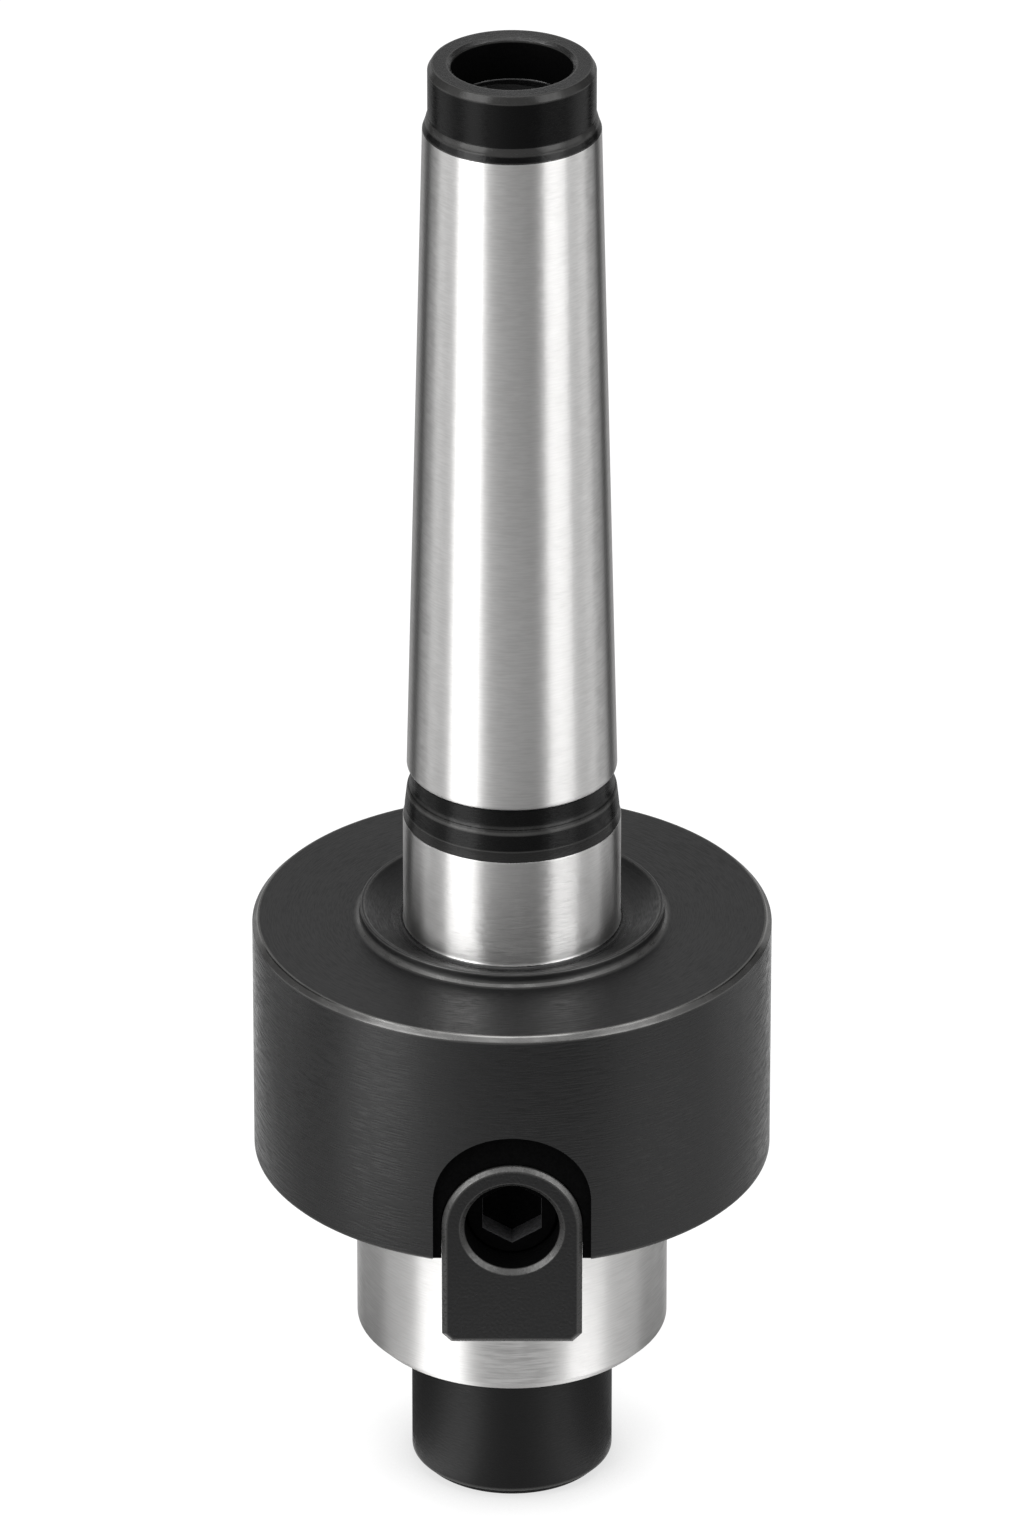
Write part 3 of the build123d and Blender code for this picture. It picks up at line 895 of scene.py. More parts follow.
@dataclass(frozen=True)
class ArborBody:
    """The turned and ground body: shank end, cone, neck, collars, flange and pilot, with both threads."""

    columns: int = 168
    pilot_end: float = 13.3
    pilot_radius: float = 13.5
    pilot_chamfer: float = 0.95
    relief_width: float = 1.2
    relief_depth: float = 0.25
    relief_face_width: float = 0.35
    relief_face_depth: float = 0.15
    shoulder: float = 31.0
    flange_radius: float = 22.35
    flange_top: float = 53.1
    flange_top_chamfer: float = 0.45
    flange_bottom_chamfer: float = 0.2
    boss_radius: float = 13.1
    boss_top: float = 54.3
    boss_fillet: float = 0.55
    boss_rim: float = 0.35
    boss_edge: float = 0.12
    dish_floor: float = 52.85
    dish_sag: float = 0.18
    collar_radius: float = 9.35
    collar_fillet: float = 0.35
    collar_top: float = 63.0
    black_collar_radius: float = 9.2
    black_collar_draft: float = 0.2
    black_foot_height: float = 0.9
    black_foot_step: float = 0.06
    neck_z: float = 65.7
    neck_radius: float = 8.725
    neck_fillet: float = 0.45
    taper_low: float = 67.8
    taper_low_radius: float = 9.0149
    taper_high: float = 127.5
    taper_high_radius: float = 7.5239
    taper_edge: float = 0.27
    end_radius: float = 7.075
    flare_height: float = 1.3
    cove_height: float = 0.6
    cove_depth: float = 0.2
    top: float = 133.4
    top_chamfer_height: float = 0.55
    top_chamfer_width: float = 0.32
    counterbore_radius: float = 5.125
    counterbore_floor: float = 129.65
    mouth_chamfer: float = 0.28
    thread_cone: float = 0.12
    drawbar_thread_end: float = 109.4
    drawbar_point: float = 106.85
    screw_mouth: float = 6.65
    screw_tap: float = 5.12
    screw_thread_end: float = 41.5
    screw_hole_top: float = 43.3
    screw_hole_point: float = 46.93
    core_radius: float = 7.0
    collar_inner: float = 8.5
    seat_top: float = 44.0
    seat: KeySeat = field(default_factory=KeySeat)

    def below_flange(self) -> Rows:
        """Corners r, z, radius from the screw hole's mouth round the pilot to the flange's underside."""
        pilot, relief = self.pilot_radius, self.pilot_radius - self.relief_depth
        relief_low = self.shoulder - self.relief_width
        face = pilot + self.relief_face_width
        return [
            (self.screw_mouth, self.pilot_end, 0.05),
            (pilot - self.pilot_chamfer, self.pilot_end, 0.06),
            (pilot, self.pilot_end + self.pilot_chamfer, 0.10),
            (pilot, relief_low, 0.04),
            (relief, relief_low + self.relief_depth, 0.06),
            (relief, self.shoulder + self.relief_face_depth, 0.06),
            (face - self.relief_face_depth, self.shoulder + self.relief_face_depth, 0.05),
            (face, self.shoulder, 0.03),
        ]

    def flange_and_boss(self) -> Rows:
        """Corners r, z, radius round the flange, over the boss and down its dish to the ground collar."""
        flange, boss, edge = self.flange_radius, self.boss_radius, self.boss_edge
        dish_start = (boss - self.boss_rim, self.boss_top)
        dish_end = (self.collar_radius + self.collar_fillet, self.dish_floor)
        fillet_end = (self.collar_radius, self.dish_floor + self.collar_fillet)
        return [
            (flange - self.flange_bottom_chamfer, self.shoulder, 0.06),
            (flange, self.shoulder + self.flange_bottom_chamfer, 0.10),
            (flange, self.flange_top - self.flange_top_chamfer, 0.10),
            (flange - self.flange_top_chamfer, self.flange_top, 0.10),
            (boss, self.flange_top, self.boss_fillet),
            (boss, self.boss_top - edge, 0.04),
            (boss - edge, self.boss_top, 0.04),
            (*dish_start, 0.10),
            *bow(dish_start, dish_end, self.dish_sag),
            (*dish_end, 0.0),
            *bow(dish_end, fillet_end, 0.07, 4),
            (*fillet_end, 0.0),
        ]

    def above_boss(self) -> Rows:
        """Corners r, z, radius up the collars, the neck, the cone and the shank end, into its bore."""
        foot = (self.collar_radius - self.black_foot_step, self.collar_top)
        foot_top = (self.black_collar_radius, self.collar_top + self.black_foot_height)
        flare_top = self.taper_high + self.flare_height
        cove_start = (self.end_radius + self.cove_depth, flare_top - self.cove_height)
        cove_end = (self.end_radius, flare_top)
        bore, mouth = self.counterbore_radius, self.mouth_chamfer
        return [
            (self.collar_radius, self.collar_top, 0.02),
            (*foot, 0.0),
            *bow(foot, foot_top, 0.02, 4),
            (*foot_top, 0.3),
            (self.black_collar_radius - self.black_collar_draft, self.neck_z, 0.85),
            (self.neck_radius, self.neck_z + self.neck_fillet, 0.85),
            (self.neck_radius, self.taper_low, 0.1),
            (self.taper_low_radius, self.taper_low, self.taper_edge),
            (self.taper_high_radius, self.taper_high, 0.12),
            (*cove_start, 0.1),
            *bow(cove_start, cove_end, -0.03, 4),
            (*cove_end, 0.0),
            (self.end_radius, self.top - self.top_chamfer_height, 0.10),
            (self.end_radius - self.top_chamfer_width, self.top, 0.10),
            (bore + mouth, self.top, 0.05),
            (bore, self.top - mouth, 0.05),
            (bore, self.counterbore_floor, 0.12),
            (bore - self.thread_cone, self.counterbore_floor - self.thread_cone / 2, 0.0),
        ]

    def outline(self) -> np.ndarray:
        """The outer outline from the screw hole's mouth to the counterbore's floor, as rows r, z, wear."""
        profile = corners(self.below_flange() + self.flange_and_boss() + self.above_boss())
        radius, height, wear = profile.T
        for inner, outer, low, high, level in self.worn_zones():
            wear[(radius > inner) & (radius < outer) & (height > low) & (height < high)] = level
        return profile

    def worn_zones(self) -> tuple[tuple[float, float, float, float, float], ...]:
        """Where the oxide is thin: inner and outer radius, low and high end, and wear.

        The flange's top chamfer, its upper edge, the boss's fillet, the neck's fillet, the black collar's
        foot, the cove under the shank end, and the chamfers of the shank end and the bore's mouth.
        """
        rim, boss, end = self.flange_radius - self.flange_top_chamfer, self.boss_radius, self.end_radius
        chamfer_low = self.flange_top - self.flange_top_chamfer
        flare_top = self.taper_high + self.flare_height
        return (
            (rim, self.flange_radius + 1, chamfer_low, self.flange_top, 0.2),
            (rim - 0.05, rim + 0.05, self.flange_top - 0.035, self.flange_top + 0.01, 0.5),
            (boss, boss + 0.6, self.flange_top + 0.02, self.flange_top + 0.6, 0.18),
            (self.neck_radius + 0.03, 8.97, self.neck_z - 0.1, self.neck_z + 0.55, 0.05),
            (9.0, 9.35, self.collar_top + 0.02, self.collar_top + 0.9, 0.04),
            (end, end + 0.3, flare_top - 0.7, flare_top, 0.09),
            (end - 0.33, end + 0.01, self.top - 0.56, self.top, 0.08),
            (self.counterbore_radius, 5.5, self.top - 0.29, self.top, 0.03),
        )

    def threads(self) -> tuple[Thread, Thread]:
        """The thread of the cutter screw's hole and the drawbar thread."""
        tap, cone = self.screw_tap, self.counterbore_radius - self.thread_cone
        lower = Thread(1.75, 6.05, tap, self.screw_mouth, tap, slope_low=-1.0, inside=True)
        upper = Thread(1.5, 5.0, 4.2, 4.2, cone, slope_high=-1.6, inside=True, wear=0.0)
        return lower, upper

    def skin(self) -> Skin:
        """The surface before the key seats are cut, from the screw hole's top to the upper bore's point."""
        lower, upper = self.threads()
        tap = self.screw_tap
        skin = Skin.even(self.columns)
        skin.pole(self.screw_hole_point)
        skin.turned(np.array([(2.5, 45.4, 0.0), (tap, self.screw_hole_top + 0.5, 0.0), (tap, 42.0, 0.0)]))
        skin.threaded(lower, self.pilot_end, self.screw_thread_end, upwards=False)
        skin.turned(self.outline())
        thread_top = self.counterbore_floor - self.thread_cone / 2
        skin.threaded(upper, self.drawbar_thread_end, thread_top, upwards=False)
        skin.pole(self.drawbar_point)
        return skin

    def mesh(self) -> Mesh:
        """Cuts both key seats out of the turned surface.

        Returns:
            The finished mesh, in metres.
        """
        blank = link("blank", self.skin().mesh("arbor", 1.0))
        plugs = [self.seat.plug(side) for side in Side]
        for plug in plugs:
            cut = blank.modifiers.new("Key seat", "BOOLEAN")
            cut.operation = "DIFFERENCE"
            cut.solver = "EXACT"
            cut.object = plug
        seen = bpy.context.evaluated_depsgraph_get()
        mesh = bpy.data.meshes.new_from_object(blank.evaluated_get(seen))
        for used in (blank, *plugs):
            bpy.data.objects.remove(used)
        work = bmesh.new()
        work.from_mesh(mesh)
        bmesh.ops.scale(work, verts=work.verts, vec=(MM, MM, MM))
        bmesh.ops.remove_doubles(work, verts=work.verts, dist=MERGE_IN_METRES)
        work.to_mesh(mesh)
        work.free()
        mesh.name = "arbor"
        return mesh

    def finishes_of(self, mesh: Mesh) -> np.ndarray:
        """Tells each face's finish from the radius and height of its middle.

        The pilot, the flange's seating face, the ground collar and the cone are ground, and all else is
        black, with every hole. The key seats and the counterbore's walls get a near-black finish with
        almost no reflection, which is painted shade.

        Args:
            mesh: the mesh, in metres.

        Returns:
            The number of each face's finish.
        """
        x, y, z = middles(mesh)
        radius = np.hypot(x, y)
        bore_radius, floor = self.counterbore_radius, self.counterbore_floor
        cone_top = self.taper_high + 2 * HAIR
        pilot = (z < self.shoulder + 0.2) & (radius > self.screw_mouth + HAIR)
        pilot &= radius < self.pilot_radius + 0.4
        seating = (abs(z - self.shoulder) < HAIR) & (radius < self.flange_radius - 0.3)
        collar = (z > self.dish_floor + 0.24) & (z < self.collar_top)
        collar &= (radius > self.collar_inner) & (radius < self.collar_radius + 0.2)
        above_cone = z > cone_top
        cone = (z > self.taper_low - 0.001) & (z < cone_top) & (radius > self.core_radius)
        seat = (radius < self.flange_radius - 2 * HAIR) & (abs(y) > self.seat.back - CLEAR)
        seat &= (abs(x) < self.seat.recess_half_width + CLEAR) & (z > self.shoulder + HAIR)
        seat &= z < self.seat_top
        on_flange = (z > self.shoulder - HAIR) & (z < self.boss_top + CLEAR) & (radius > self.collar_radius)
        bore = (z > self.drawbar_point - 1) & (radius < bore_radius + HAIR)
        mouth = above_cone & (radius < bore_radius + self.mouth_chamfer)
        finish = np.full(len(z), Finish.SMOOTH_BLACK.value)
        for zone, kind in (
            (on_flange & ~seat, Finish.SATIN_BLACK),
            (on_flange & (z > self.flange_top - HAIR), Finish.FACED_BLACK),
            (above_cone | bore, Finish.DULL_BLACK),
            ((z > self.top - HAIR) | mouth, Finish.SATIN_BLACK),
            (bore & (z < floor - 0.6), Finish.DULL_BLACK),
            # Painted shade: the key seats and the counterbore's walls above its floor take the near-black
            # finish.
            (seat | (bore & (z > floor + 2 * HAIR)), Finish.PAINTED_SHADE_BLACK),
            (pilot | seating | collar | cone, Finish.GROUND),
        ):
            finish[zone] = kind.value
        return finish

    def dress(self, finishes: Finishes) -> None:
        """Puts the body into the scene with its ground and black zones, its materials in Finish's order."""
        mesh = self.mesh()
        materials = (finishes.ground, finishes.satin_black, finishes.smooth_black)
        materials += (finishes.painted_shade_black, finishes.dull_black, finishes.faced_black)
        paint(mesh, materials, self.finishes_of(mesh))
        put_piece("turned_body", mesh, "arbor", "arbor_body")


# Drive keys and their screws


@dataclass(frozen=True)
class DriveKey:
    """An arch-topped drive key with a counterbore for its screw.

    Attributes:
        side: the side of the flange that it is let into.
    """

    side: Side
    centre_z: float = KEY_AXIS_Z
    back: float = KEY_BACK
    front: float = 21.4
    half_width: float = 6.0
    foot: float = 11.15
    corner: float = 0.8
    corner_shrink: float = 0.4142
    edge: float = 0.35
    edge_wear: float = 0.15
    hole_radius: float = 2.75
    pocket_radius: float = 4.075
    mouth: float = 0.4
    mouth_wear: float = 0.12
    seat: float = KEY_SCREW_SEAT

    def outline(self, inset: np.ndarray) -> np.ndarray:
        """The key's outline, moved inwards.

        Its straight part is read off between its corners, each of which moves along its own bisector,
        and its arch is a half circle whose radius shrinks by the inset.

        Args:
            inset: how far inwards, one value for each ring.

        Returns:
            Rings by points by across and up.
        """
        side, slant, zero = self.half_width - inset, self.corner_shrink * inset, 0 * inset
        low, high = -(self.foot - inset), -(self.foot - self.corner - slant)
        inner = self.half_width - self.corner - slant
        corner_x = np.stack([side, side, inner, -inner, -side, -side], axis=-1)
        corner_z = np.stack([zero, high, low, low, high, zero], axis=-1)
        counts = (14, 3, 18, 3, 14)
        parts = [np.linspace(at, at + 1, count + 1)[1:] for at, count in enumerate(counts)]
        stops = np.concatenate([[0.0], *parts])
        whole = np.minimum(stops.astype(int), 4)
        part = stops - whole
        across = corner_x[:, whole] * (1 - part) + corner_x[:, whole + 1] * part
        up = corner_z[:, whole] * (1 - part) + corner_z[:, whole + 1] * part
        angles = np.linspace(math.pi, 0, 66)[1:-1]
        across = np.concatenate([across, side[:, None] * np.cos(angles)], axis=1)
        up = np.concatenate([up, side[:, None] * np.sin(angles)], axis=1)
        return np.stack([across, up], axis=-1)

    def rim(self) -> np.ndarray:
        """Rows of inset, depth and wear from the key's back round its edge on to its outer face."""
        back, front, edge = self.back, self.front, self.edge
        rows = [(2.0, back, 0), (0.1, back, 0.03), (0.0, back + 0.1, 0.03)]
        rows += [(0.0, front - edge, 0.10), (edge, front, 0.08), (0.9, front, 0)]
        profile = corners(rows, 4, hand=-1.0)
        profile[(profile[:, 0] < edge + 0.05) & (profile[:, 1] > front - edge), 2] = self.edge_wear
        return profile

    def well(self) -> np.ndarray:
        """Rows of radius, depth and wear from the outer face down the counterbore to the key's back."""
        top, pocket, lip = self.front, self.pocket_radius, self.pocket_radius + self.mouth
        rows = [(lip + 0.3, top, 0), (lip, top, 0.04), (pocket, top - self.mouth, 0.05)]
        rows += [(pocket, self.seat, 0.08), (self.hole_radius, self.seat, 0.04)]
        profile = corners([*rows, (self.hole_radius, self.back, 0)])
        profile[(profile[:, 0] < lip + 0.03) & (profile[:, 1] > top - self.mouth), 2] = self.mouth_wear
        return profile

    def dress(self, finishes: Finishes) -> None:
        """Puts the key into the scene: rings round its rim, then round its well, joined into one skin."""
        rim, well = self.rim(), self.well()
        flat = self.outline(np.zeros(1))[0]
        angles = np.arctan2(flat[:, 1], flat[:, 0])
        circle = np.stack([np.cos(angles), np.sin(angles)], axis=-1)
        rings = np.concatenate([self.outline(rim[:, 0]), well[:, 0, None, None] * circle[None]])
        rest = np.concatenate([rim[:, 1:], well[:, 1:]])[:, None] * np.ones((1, len(angles), 1))
        skin = Skin(angles)
        skin.rings(np.concatenate([rings, rest], axis=2))
        skin.join(np.arange(skin.count).reshape(len(rings), -1)[[-1, 0]])
        side = self.side.name.lower()
        mesh = skin.mesh(f"{side}_drive_key")
        stand_key_upright(mesh, self.side, self.centre_z, MM)
        x, y, z = middles(mesh)
        reach = np.hypot(x, z - self.centre_z)
        inside = (reach < self.pocket_radius + 2 * HAIR) & (abs(y) > self.back + HAIR)
        # Painted shade: the counterbore's walls and floor get the near-black finish with almost no
        # reflection.
        paint(mesh, (finishes.milled_black, finishes.painted_shade_black), inside)
        put_piece(f"{side}_drive_key", mesh, "arbor", f"drive_key_{side}")


@dataclass(frozen=True)
class KeyScrew:
    """The socket head screw of a drive key.

    Attributes:
        side: the side of the flange that it is on.
    """

    side: Side
    centre_z: float = KEY_AXIS_Z
    tip: float = 9.65
    tip_radius: float = 1.9
    seat: float = KEY_SCREW_SEAT
    shank_radius: float = 2.45
    root_radius: float = 2.05
    pitch: float = 0.8
    thread_gap: float = 0.3
    neck_low: float = 0.29
    neck_high: float = 0.1
    head_radius: float = 4.0
    head_height: float = 2.8
    head_edge: float = 0.25
    socket_rim: float = 3.2
    wall_inner: float = 2.4
    wall_outer: float = 2.93
    socket_flats: float = 5.0
    socket_depth: float = 2.3
    socket_point: float = 0.5
    columns: int = 96

    def dress(self, finishes: Finishes) -> None:
        """Puts the screw into the scene: shank, head and hexagon socket."""
        seat, shank, root, head = self.seat, self.shank_radius, self.root_radius, self.head_radius
        top = seat + self.head_height
        skin = Skin.even(self.columns)
        skin.pole(self.tip)
        thread = Thread(self.pitch, shank, root, self.tip_radius, root, slope_low=1.0)
        skin.threaded(thread, self.tip, seat - self.thread_gap, upwards=True)
        rows = [(root, seat - self.neck_low, 0), (shank, seat - self.neck_high, 0), (shank, seat, 0)]
        rows += [(head, seat, 0.05), (head, top - self.head_edge, 0.08)]
        rows += [(head - self.head_edge, top, 0.08), (self.socket_rim, top, 0)]
        skin.turned(corners(rows) * (1, 1, 0))
        depths = np.array([0.0, 0.03, 0.06, 0.15, self.socket_depth - 0.1, self.socket_depth])
        spread = np.array([0.03, 0.01, 0.0, 0.0, 0.0, 0.0])
        reach = hexagon(skin.angles, self.socket_flats)[None] + spread[:, None]
        skin.shaped(reach, top - depths, 0 * depths)
        skin.pole(top - self.socket_depth - self.socket_point)
        side = self.side.name.lower()
        mesh = skin.mesh(f"{side}_key_screw")
        stand_key_upright(mesh, self.side, self.centre_z, MM)
        x, y, z = middles(mesh)
        reach, depth = np.hypot(x, z - self.centre_z), top - abs(y)
        painted_light_walls = (reach > self.wall_inner) & (reach < self.wall_outer)
        painted_light_walls &= (depth > HAIR) & (depth < self.socket_depth)
        # Painted light and shade: the socket's walls get a far lighter black, standing for light on them,
        # and the rest of the screw, its head's top with it, the near-black finish that stands for shade.
        paint(mesh, (finishes.painted_shade_black, finishes.painted_light_black), painted_light_walls)
        put_piece(f"{side}_key_screw", mesh, "arbor", f"key_screw_{side}")


@dataclass(frozen=True)
class CutterScrew:
    """The M12 screw that clamps the cutter, with a round head and a deep hexagon socket in its foot."""

    head_radius: float = 8.75
    head_height: float = 13.3
    foot_edge: float = 0.8
    top_edge: float = 0.3
    shank_radius: float = 6.0
    fillet: float = 0.4
    plain_end: float = 0.8
    thread_start: float = 1.6
    thread_low: float = 1.65
    tip: float = 39.3
    tip_radius: float = 4.8
    pitch: float = 1.75
    crest: float = 5.98
    root: float = 5.05
    socket_flats: float = 10.0
    socket_depth: float = 8.0
    socket_mouth: float = 6.02
    columns: int = 144

    def dress(self, finishes: Finishes) -> None:
        """Puts the screw into the scene, gathered from the socket's floor round the head up the thread."""
        head, shank, foot, edge = self.head_radius, self.shank_radius, self.foot_edge, self.top_edge
        seat = self.head_height
        skin = Skin.even(self.columns)
        skin.pole(self.socket_depth)
        heights = np.array([self.socket_depth, 1.02, 0.85, 0.7, 0.55, 0.4, 0.25, 0.1, 0.0])
        wear = np.array([0, 0, 0, 0, 0, 0.1, 0.2, 0.3, 0.3])
        six = hexagon(skin.angles, self.socket_flats, math.pi / 6)
        skin.shaped(np.maximum(six[None], (self.socket_mouth - heights)[:, None]), heights, wear)
        rows = [(self.socket_mouth + 0.1, 0.0, 0), (head - foot, 0.0, 0.2), (head, foot, 0.2)]
        rows += [(head, seat - edge, 0.08), (head - edge, seat, 0.08), (shank + self.fillet, seat, 0.1)]
        rows += [(shank, seat + self.fillet, 0.1), (shank, seat + self.plain_end, 0.1)]
        skin.turned(corners([*rows, (self.root, seat + self.thread_start, 0)], 4))
        thread = Thread(self.pitch, self.crest, self.root, self.root, self.tip_radius, slope_high=1.0)
        skin.threaded(thread, seat + self.thread_low, self.tip, upwards=True)
        skin.pole(self.tip)
        mesh = skin.mesh("cutter_screw_threaded")
        x, y, z = middles(mesh)
        chamfer = (z > HAIR) & (z < 0.9 * foot) & (np.hypot(x, y) > head - foot)
        # Painted shade: the head's foot chamfer, by the floor, gets the near-black finish with almost no
        # reflection.
        paint(mesh, (finishes.screw_black, finishes.painted_shade_black), chamfer)
        put_piece("threaded_cutter_screw", mesh, "cutter_screw", "cutter_screw")


# Studio


@dataclass(frozen=True)
class Softbox:
    """A rectangular lamp that points at the arbor.

    Attributes:
        name: name of the lamp.
        azimuth: direction from the arbor in degrees, 0 towards the camera and positive to its right.
        distance: distance from the axis in metres.
        height: height of the lamp's centre in metres.
        width: width in metres.
        length: upright length in metres.
        radiance: brightness of its face, where 1 is white.
        aim: height in metres of the point on the axis that it faces.
    """

    name: str
    azimuth: float
    distance: float
    height: float
    width: float
    length: float
    radiance: float
    aim: float = 0.06

    def hang(self) -> None:
        """Hangs the lamp, hidden from the camera."""
        lamp = bpy.data.lights.new(self.name, "AREA")
        lamp.shape = "RECTANGLE"
        lamp.size = self.width
        lamp.size_y = self.length
        lamp.energy = self.radiance * math.pi * self.width * self.length
        holder = link(self.name, lamp)
        turn = math.radians(self.azimuth)
        place = Vector((math.sin(turn) * self.distance, -math.cos(turn) * self.distance, self.height))
        holder.location = place
        holder.rotation_euler = (Vector((0, 0, self.aim)) - place).to_track_quat("-Z", "Y").to_euler()
        holder.visible_camera = False


@dataclass(frozen=True)
class Tent:
    """A reflector tent round the arbor, which only reflections show: a grey sheet and a wall of cloths.

    Each row of tones is read by azimuth in degrees, 0 towards the camera and positive to its right. A span
    gives the two distances or heights in metres between which one row passes into the next.

    Attributes:
        inner: radius in metres at which its sheet begins.
        outer: radius of its wall.
        height: height of its wall.
        lift: height of its sheet.
        white: brightness that a tone of 1 stands for.
        columns: how many points its rings have.
        foot: tones of the sheet that the cutter screw's head mirrors.
        close: tones of the sheet that the pilot mirrors.
        middle: tones of the sheet that the flange mirrors.
        sheet: tones of the rest of the sheet.
        low: tones of the wall's lower part.
        high: tones of the wall's upper part.
    """

    inner: float = 0.0094
    outer: float = 1.1
    height: float = 1.4
    lift: float = 0.0004
    white: float = 2.0
    columns: int = 96
    close_span: tuple[float, float] = (0.033, 0.04)
    middle_span: tuple[float, float] = (0.065, 0.085)
    sheet_span: tuple[float, float] = (0.106, 0.12)
    wall_span: tuple[float, float] = (0.001, 0.01)
    high_span: tuple[float, float] = (0.22, 0.50)
    foot: Tones = (
        *((-180, 0.15), (-123, 0.06), (-103, 0.07), (-86, 0.14), (-72, 0.34), (-60, 0.72), (-48, 1.0)),
        *((-34, 0.95), (-24, 0.5), (-12, 0.36), (0, 0.33), (14, 0.36), (28, 0.5), (38, 0.64), (50, 0.6)),
        *((62, 0.34), (76, 0.18), (100, 0.1), (123, 0.14), (180, 0.15)),
    )
    close: Tones = (
        *((-180, 0.5), (-150, 0.3), (-120, 0.3), (-95, 0.24), (-80, 0.28), (-62, 0.16), (-45, 0.14)),
        *((-25, 0.34), (0, 0.5), (25, 0.42), (45, 0.34), (62, 0.3), (80, 0.28), (95, 0.26), (120, 0.27)),
        *((150, 0.3), (180, 0.5)),
    )
    middle: Tones = (
        *((-180, 0.9), (-160, 0.6), (-140, 0.27), (-115, 0.14), (-95, 0.14), (-80, 0.22), (-71, 0.5)),
        *((-63, 0.9), (-50, 0.9), (-40, 0.66), (-31, 0.42), (-19, 0.26), (0, 0.175), (29, 0.25)),
        *((43, 0.4), (54, 0.5), (68, 0.48), (86, 0.3), (108, 0.2), (140, 0.24), (160, 0.6), (180, 0.9)),
    )
    sheet: Tones = (
        *((-180, 0.2), (-137, 0.18), (-135, 0.01), (-124, 0.01), (-120, 0.3), (-97, 0.44), (-85, 0.24)),
        *((-74, 0.22), (-72, 0.28), (-60, 0.8), (-46, 0.8), (-34, 0.28), (-31, 0.38), (-25, 0.36)),
        *((-17, 0.28), (-8, 0.225), (0, 0.185), (18, 0.14), (39, 0.13), (41, 0.24), (72, 0.24)),
        *((74, 0.22), (85, 0.24), (97, 0.44), (122, 0.36), (127, 0.01), (139, 0.01), (141, 0.18)),
        (180, 0.2),
    )
    low: Tones = (
        *((-180, 0.45), (-137, 0.42), (-135, 0.01), (-104, 0.12), (-97, 1.0), (-33.5, 1.0), (-31.5, 0.35)),
        *((0, 0.25), (38, 0.15), (40.5, 0.9), (60, 0.9), (97, 1.0), (104, 0.12), (135, 0.01), (137, 0.42)),
        (180, 0.45),
    )
    high: Tones = (
        *((-180, 0.21), (-137, 0.2), (-135, 0.02), (-101, 0.07), (-94, 0.45), (-74, 0.5), (-72, 0.8)),
        *((-36, 0.8), (-30, 0.07), (32, 0.07), (38, 0.75), (72, 0.75), (74, 0.5), (94, 0.45)),
        *((101, 0.07), (135, 0.02), (137, 0.2), (180, 0.21)),
    )

    def tone(self, nodes: Nodes, share: NodeSocket, tones: Tones) -> NodeSocket:
        """Reads a row of tones.

        Args:
            nodes: the material's tree.
            share: the azimuth as a share of a turn, 0.5 towards the camera.
            tones: the row.

        Returns:
            The grey at that azimuth.
        """
        row = nodes.put("ValToRGB", {0: share})
        stops = row.color_ramp.elements
        for number, (angle, bright) in enumerate(tones):
            at = angle / 360 + 0.5
            stop = stops[number] if number < 2 else stops.new(at)
            stop.position = at
            stop.color = (bright, bright, bright, 1.0)
        return row.outputs[0]

    def cloth(self) -> Material:
        """The tent's material, which reads its brightness off the tones by the coordinates' azimuth."""
        made, nodes = new_material("tent_cloth")
        place = nodes.place()
        x, y, height = nodes.put("SeparateXYZ", {0: place}).outputs
        azimuth = nodes.math("ARCTAN2", x, nodes.math("MULTIPLY", y, -1.0))
        share = nodes.math("MULTIPLY_ADD", azimuth, 0.5 / math.pi, 0.5)
        reach = nodes.vector("LENGTH", {0: place}).outputs["Value"]
        sheet = self.tone(nodes, share, self.foot)
        spans = (self.close_span, self.middle_span, self.sheet_span)
        for span, tones in zip(spans, (self.close, self.middle, self.sheet)):
            sheet = nodes.blend(nodes.ramp(reach, *span), sheet, self.tone(nodes, share, tones))
        low, high = (self.tone(nodes, share, tones) for tones in (self.low, self.high))
        wall = nodes.blend(nodes.ramp(height, *self.high_span), low, high)
        whole = nodes.blend(nodes.ramp(height, *self.wall_span), sheet, wall)
        nodes.end(nodes.put("Emission", {0: whole, "Strength": self.white}))
        return made

    def pitch(self) -> None:
        """Puts the tent round the arbor: a floor sheet and a wall, swept round the axis."""
        skin = Skin.even(self.columns)
        rows = [(self.inner, self.lift, 0), (0.3, self.lift, 0), (self.outer, self.lift, 0)]
        skin.turned(np.array([*rows, (self.outer, self.height, 0)]))
        tent = link("tent", skin.mesh("tent", 1.0))
        tent.data.materials.append(self.cloth())
        tent.visible_camera = False
        tent.visible_diffuse = False
        tent.visible_transmission = False
        tent.visible_volume_scatter = False
        tent.visible_shadow = False
        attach(tent, "cutter_screw")


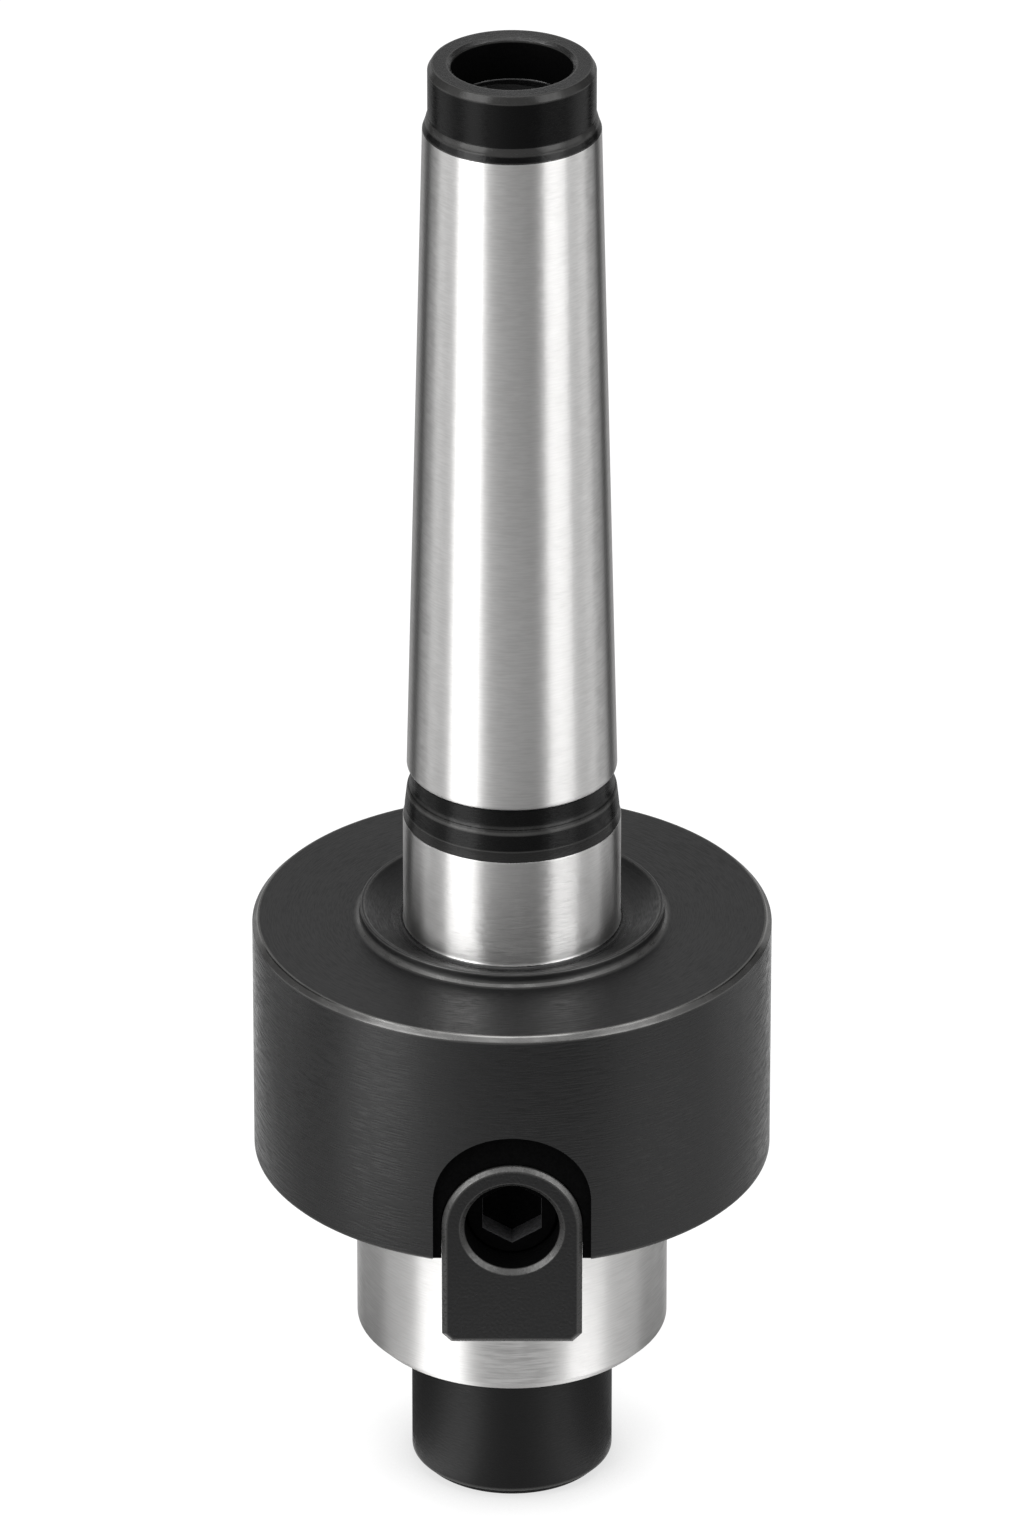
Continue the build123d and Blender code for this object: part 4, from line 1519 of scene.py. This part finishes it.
@dataclass(frozen=True)
class Studio:
    """A pale floor, soft lamps, a plain world and the camera at the photograph's angle.

    Attributes:
        floor_half: half the floor's width in metres.
        floor_grey: the floor's colour as a reflector.
        shade_reach: how far from the arbor in metres the floor's glow is dimmed by ambient occlusion, a
            painted shadow that lies beside the lamps' real shadows.
        shade: openness at the painted shadow's core and rim, and the floor's brightness at both.
        camera_distance: distance in metres of the camera from its target.
        camera_elevation: its angle above the horizon.
        camera_target: height in metres of the target on the axis.
        lens: its focal length.
        world_strength: brightness of the world as a light.
        lamps: a long softbox on each side in front and a wide one overhead.
    """

    floor_half: float = 3.0
    floor_grey: float = 0.16
    shade_reach: float = 0.014
    shade: tuple[float, float, float, float] = (0.45, 0.85, 0.7, 0.965)
    camera_distance: float = 1.13665
    camera_elevation: float = 27.4555
    camera_target: float = 0.0672916
    lens: float = 311.52
    world_strength: float = 0.3
    lamps: tuple[Softbox, ...] = (
        Softbox("left softbox", -53.0, 0.75, 0.46, 0.50, 0.80, 4.4),
        Softbox("right softbox", 55.0, 0.75, 0.46, 0.43, 0.80, 2.8),
        Softbox("front softbox", 0.0, 0.45, 0.95, 0.60, 0.30, 2.2),
    )

    def seen(self, nodes: Nodes) -> NodeSocket:
        """Tells whether a ray comes from the camera or from a reflection."""
        path = nodes.put("LightPath").outputs
        return nodes.math("MAXIMUM", path["Is Camera Ray"], path["Is Glossy Ray"])

    def floor(self) -> None:
        """Lays the floor under the cutter screw's foot, so that it goes with the screw."""
        half = self.floor_half
        mesh = bpy.data.meshes.new("floor")
        square = [(-half, -half, 0), (half, -half, 0), (half, half, 0), (-half, half, 0)]
        mesh.from_pydata(square, [], [(0, 1, 2, 3)])
        floor = link("floor", mesh)
        made, nodes = new_material("pale_floor")
        grey = self.floor_grey
        matt = nodes.put("BsdfDiffuse", {"Color": (grey, grey, grey, 1.0)})
        # Painted shadow: ambient occlusion dims the floor's glow near the arbor, so a contact shadow shows
        # beside the lamps' real shadows.
        open_sky = nodes.put("AmbientOcclusion", {"Distance": self.shade_reach}, samples=8).outputs["AO"]
        lift = nodes.put("Emission", {"Color": WHITE, "Strength": nodes.ramp(open_sky, *self.shade)})
        none = nodes.put("Emission", {"Strength": 0.0})
        glow = nodes.put("MixShader", {0: self.seen(nodes), 1: none.outputs[0], 2: lift.outputs[0]})
        nodes.end(nodes.put("AddShader", {0: matt.outputs[0], 1: glow.outputs[0]}))
        mesh.materials.append(made)
        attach(floor, "cutter_screw")

    def world(self) -> None:
        """Makes the plain world: white to the camera and in reflections, dimmer as a light."""
        world = bpy.data.worlds.new("studio")
        world.use_nodes = True
        bpy.context.scene.world = world
        nodes = Nodes(world.node_tree)
        dim = self.world_strength
        strength = nodes.math("MULTIPLY_ADD", self.seen(nodes), 1.0 - dim, dim)
        nodes.end(nodes.put("Background", {"Color": WHITE, "Strength": strength}))

    def camera(self) -> None:
        """Sets up the camera of the photograph."""
        lens = bpy.data.cameras.new("camera")
        lens.lens = self.lens
        lens.sensor_fit = "VERTICAL"
        lens.sensor_height = 36.0
        lens.clip_start = 0.01
        lens.clip_end = 50.0
        camera = link("camera", lens)
        tilt = math.radians(self.camera_elevation)
        rise = self.camera_target + self.camera_distance * math.sin(tilt)
        camera.location = (0.0, -self.camera_distance * math.cos(tilt), rise)
        camera.rotation_euler = (math.radians(90) - tilt, 0.0, 0.0)
        bpy.context.scene.camera = camera

    def build(self) -> None:
        """Builds the whole studio."""
        self.floor()
        self.world()
        self.camera()
        for box in self.lamps:
            box.hang()
        Tent().pitch()
        bpy.context.scene.view_settings.view_transform = "Standard"
        log.info("studio: floor, world, camera, %d lamps and tent", len(self.lamps))


def main() -> None:
    """Builds the arbor's pieces in order, then the studio."""
    logging.basicConfig(level=logging.INFO, format="%(name)s: %(message)s")
    finishes = Finishes.make()
    ArborBody().dress(finishes)
    for side in Side:
        DriveKey(side).dress(finishes)
        KeyScrew(side).dress(finishes)
    CutterScrew().dress(finishes)
    Studio().build()


if __name__ == "__main__":
    main()
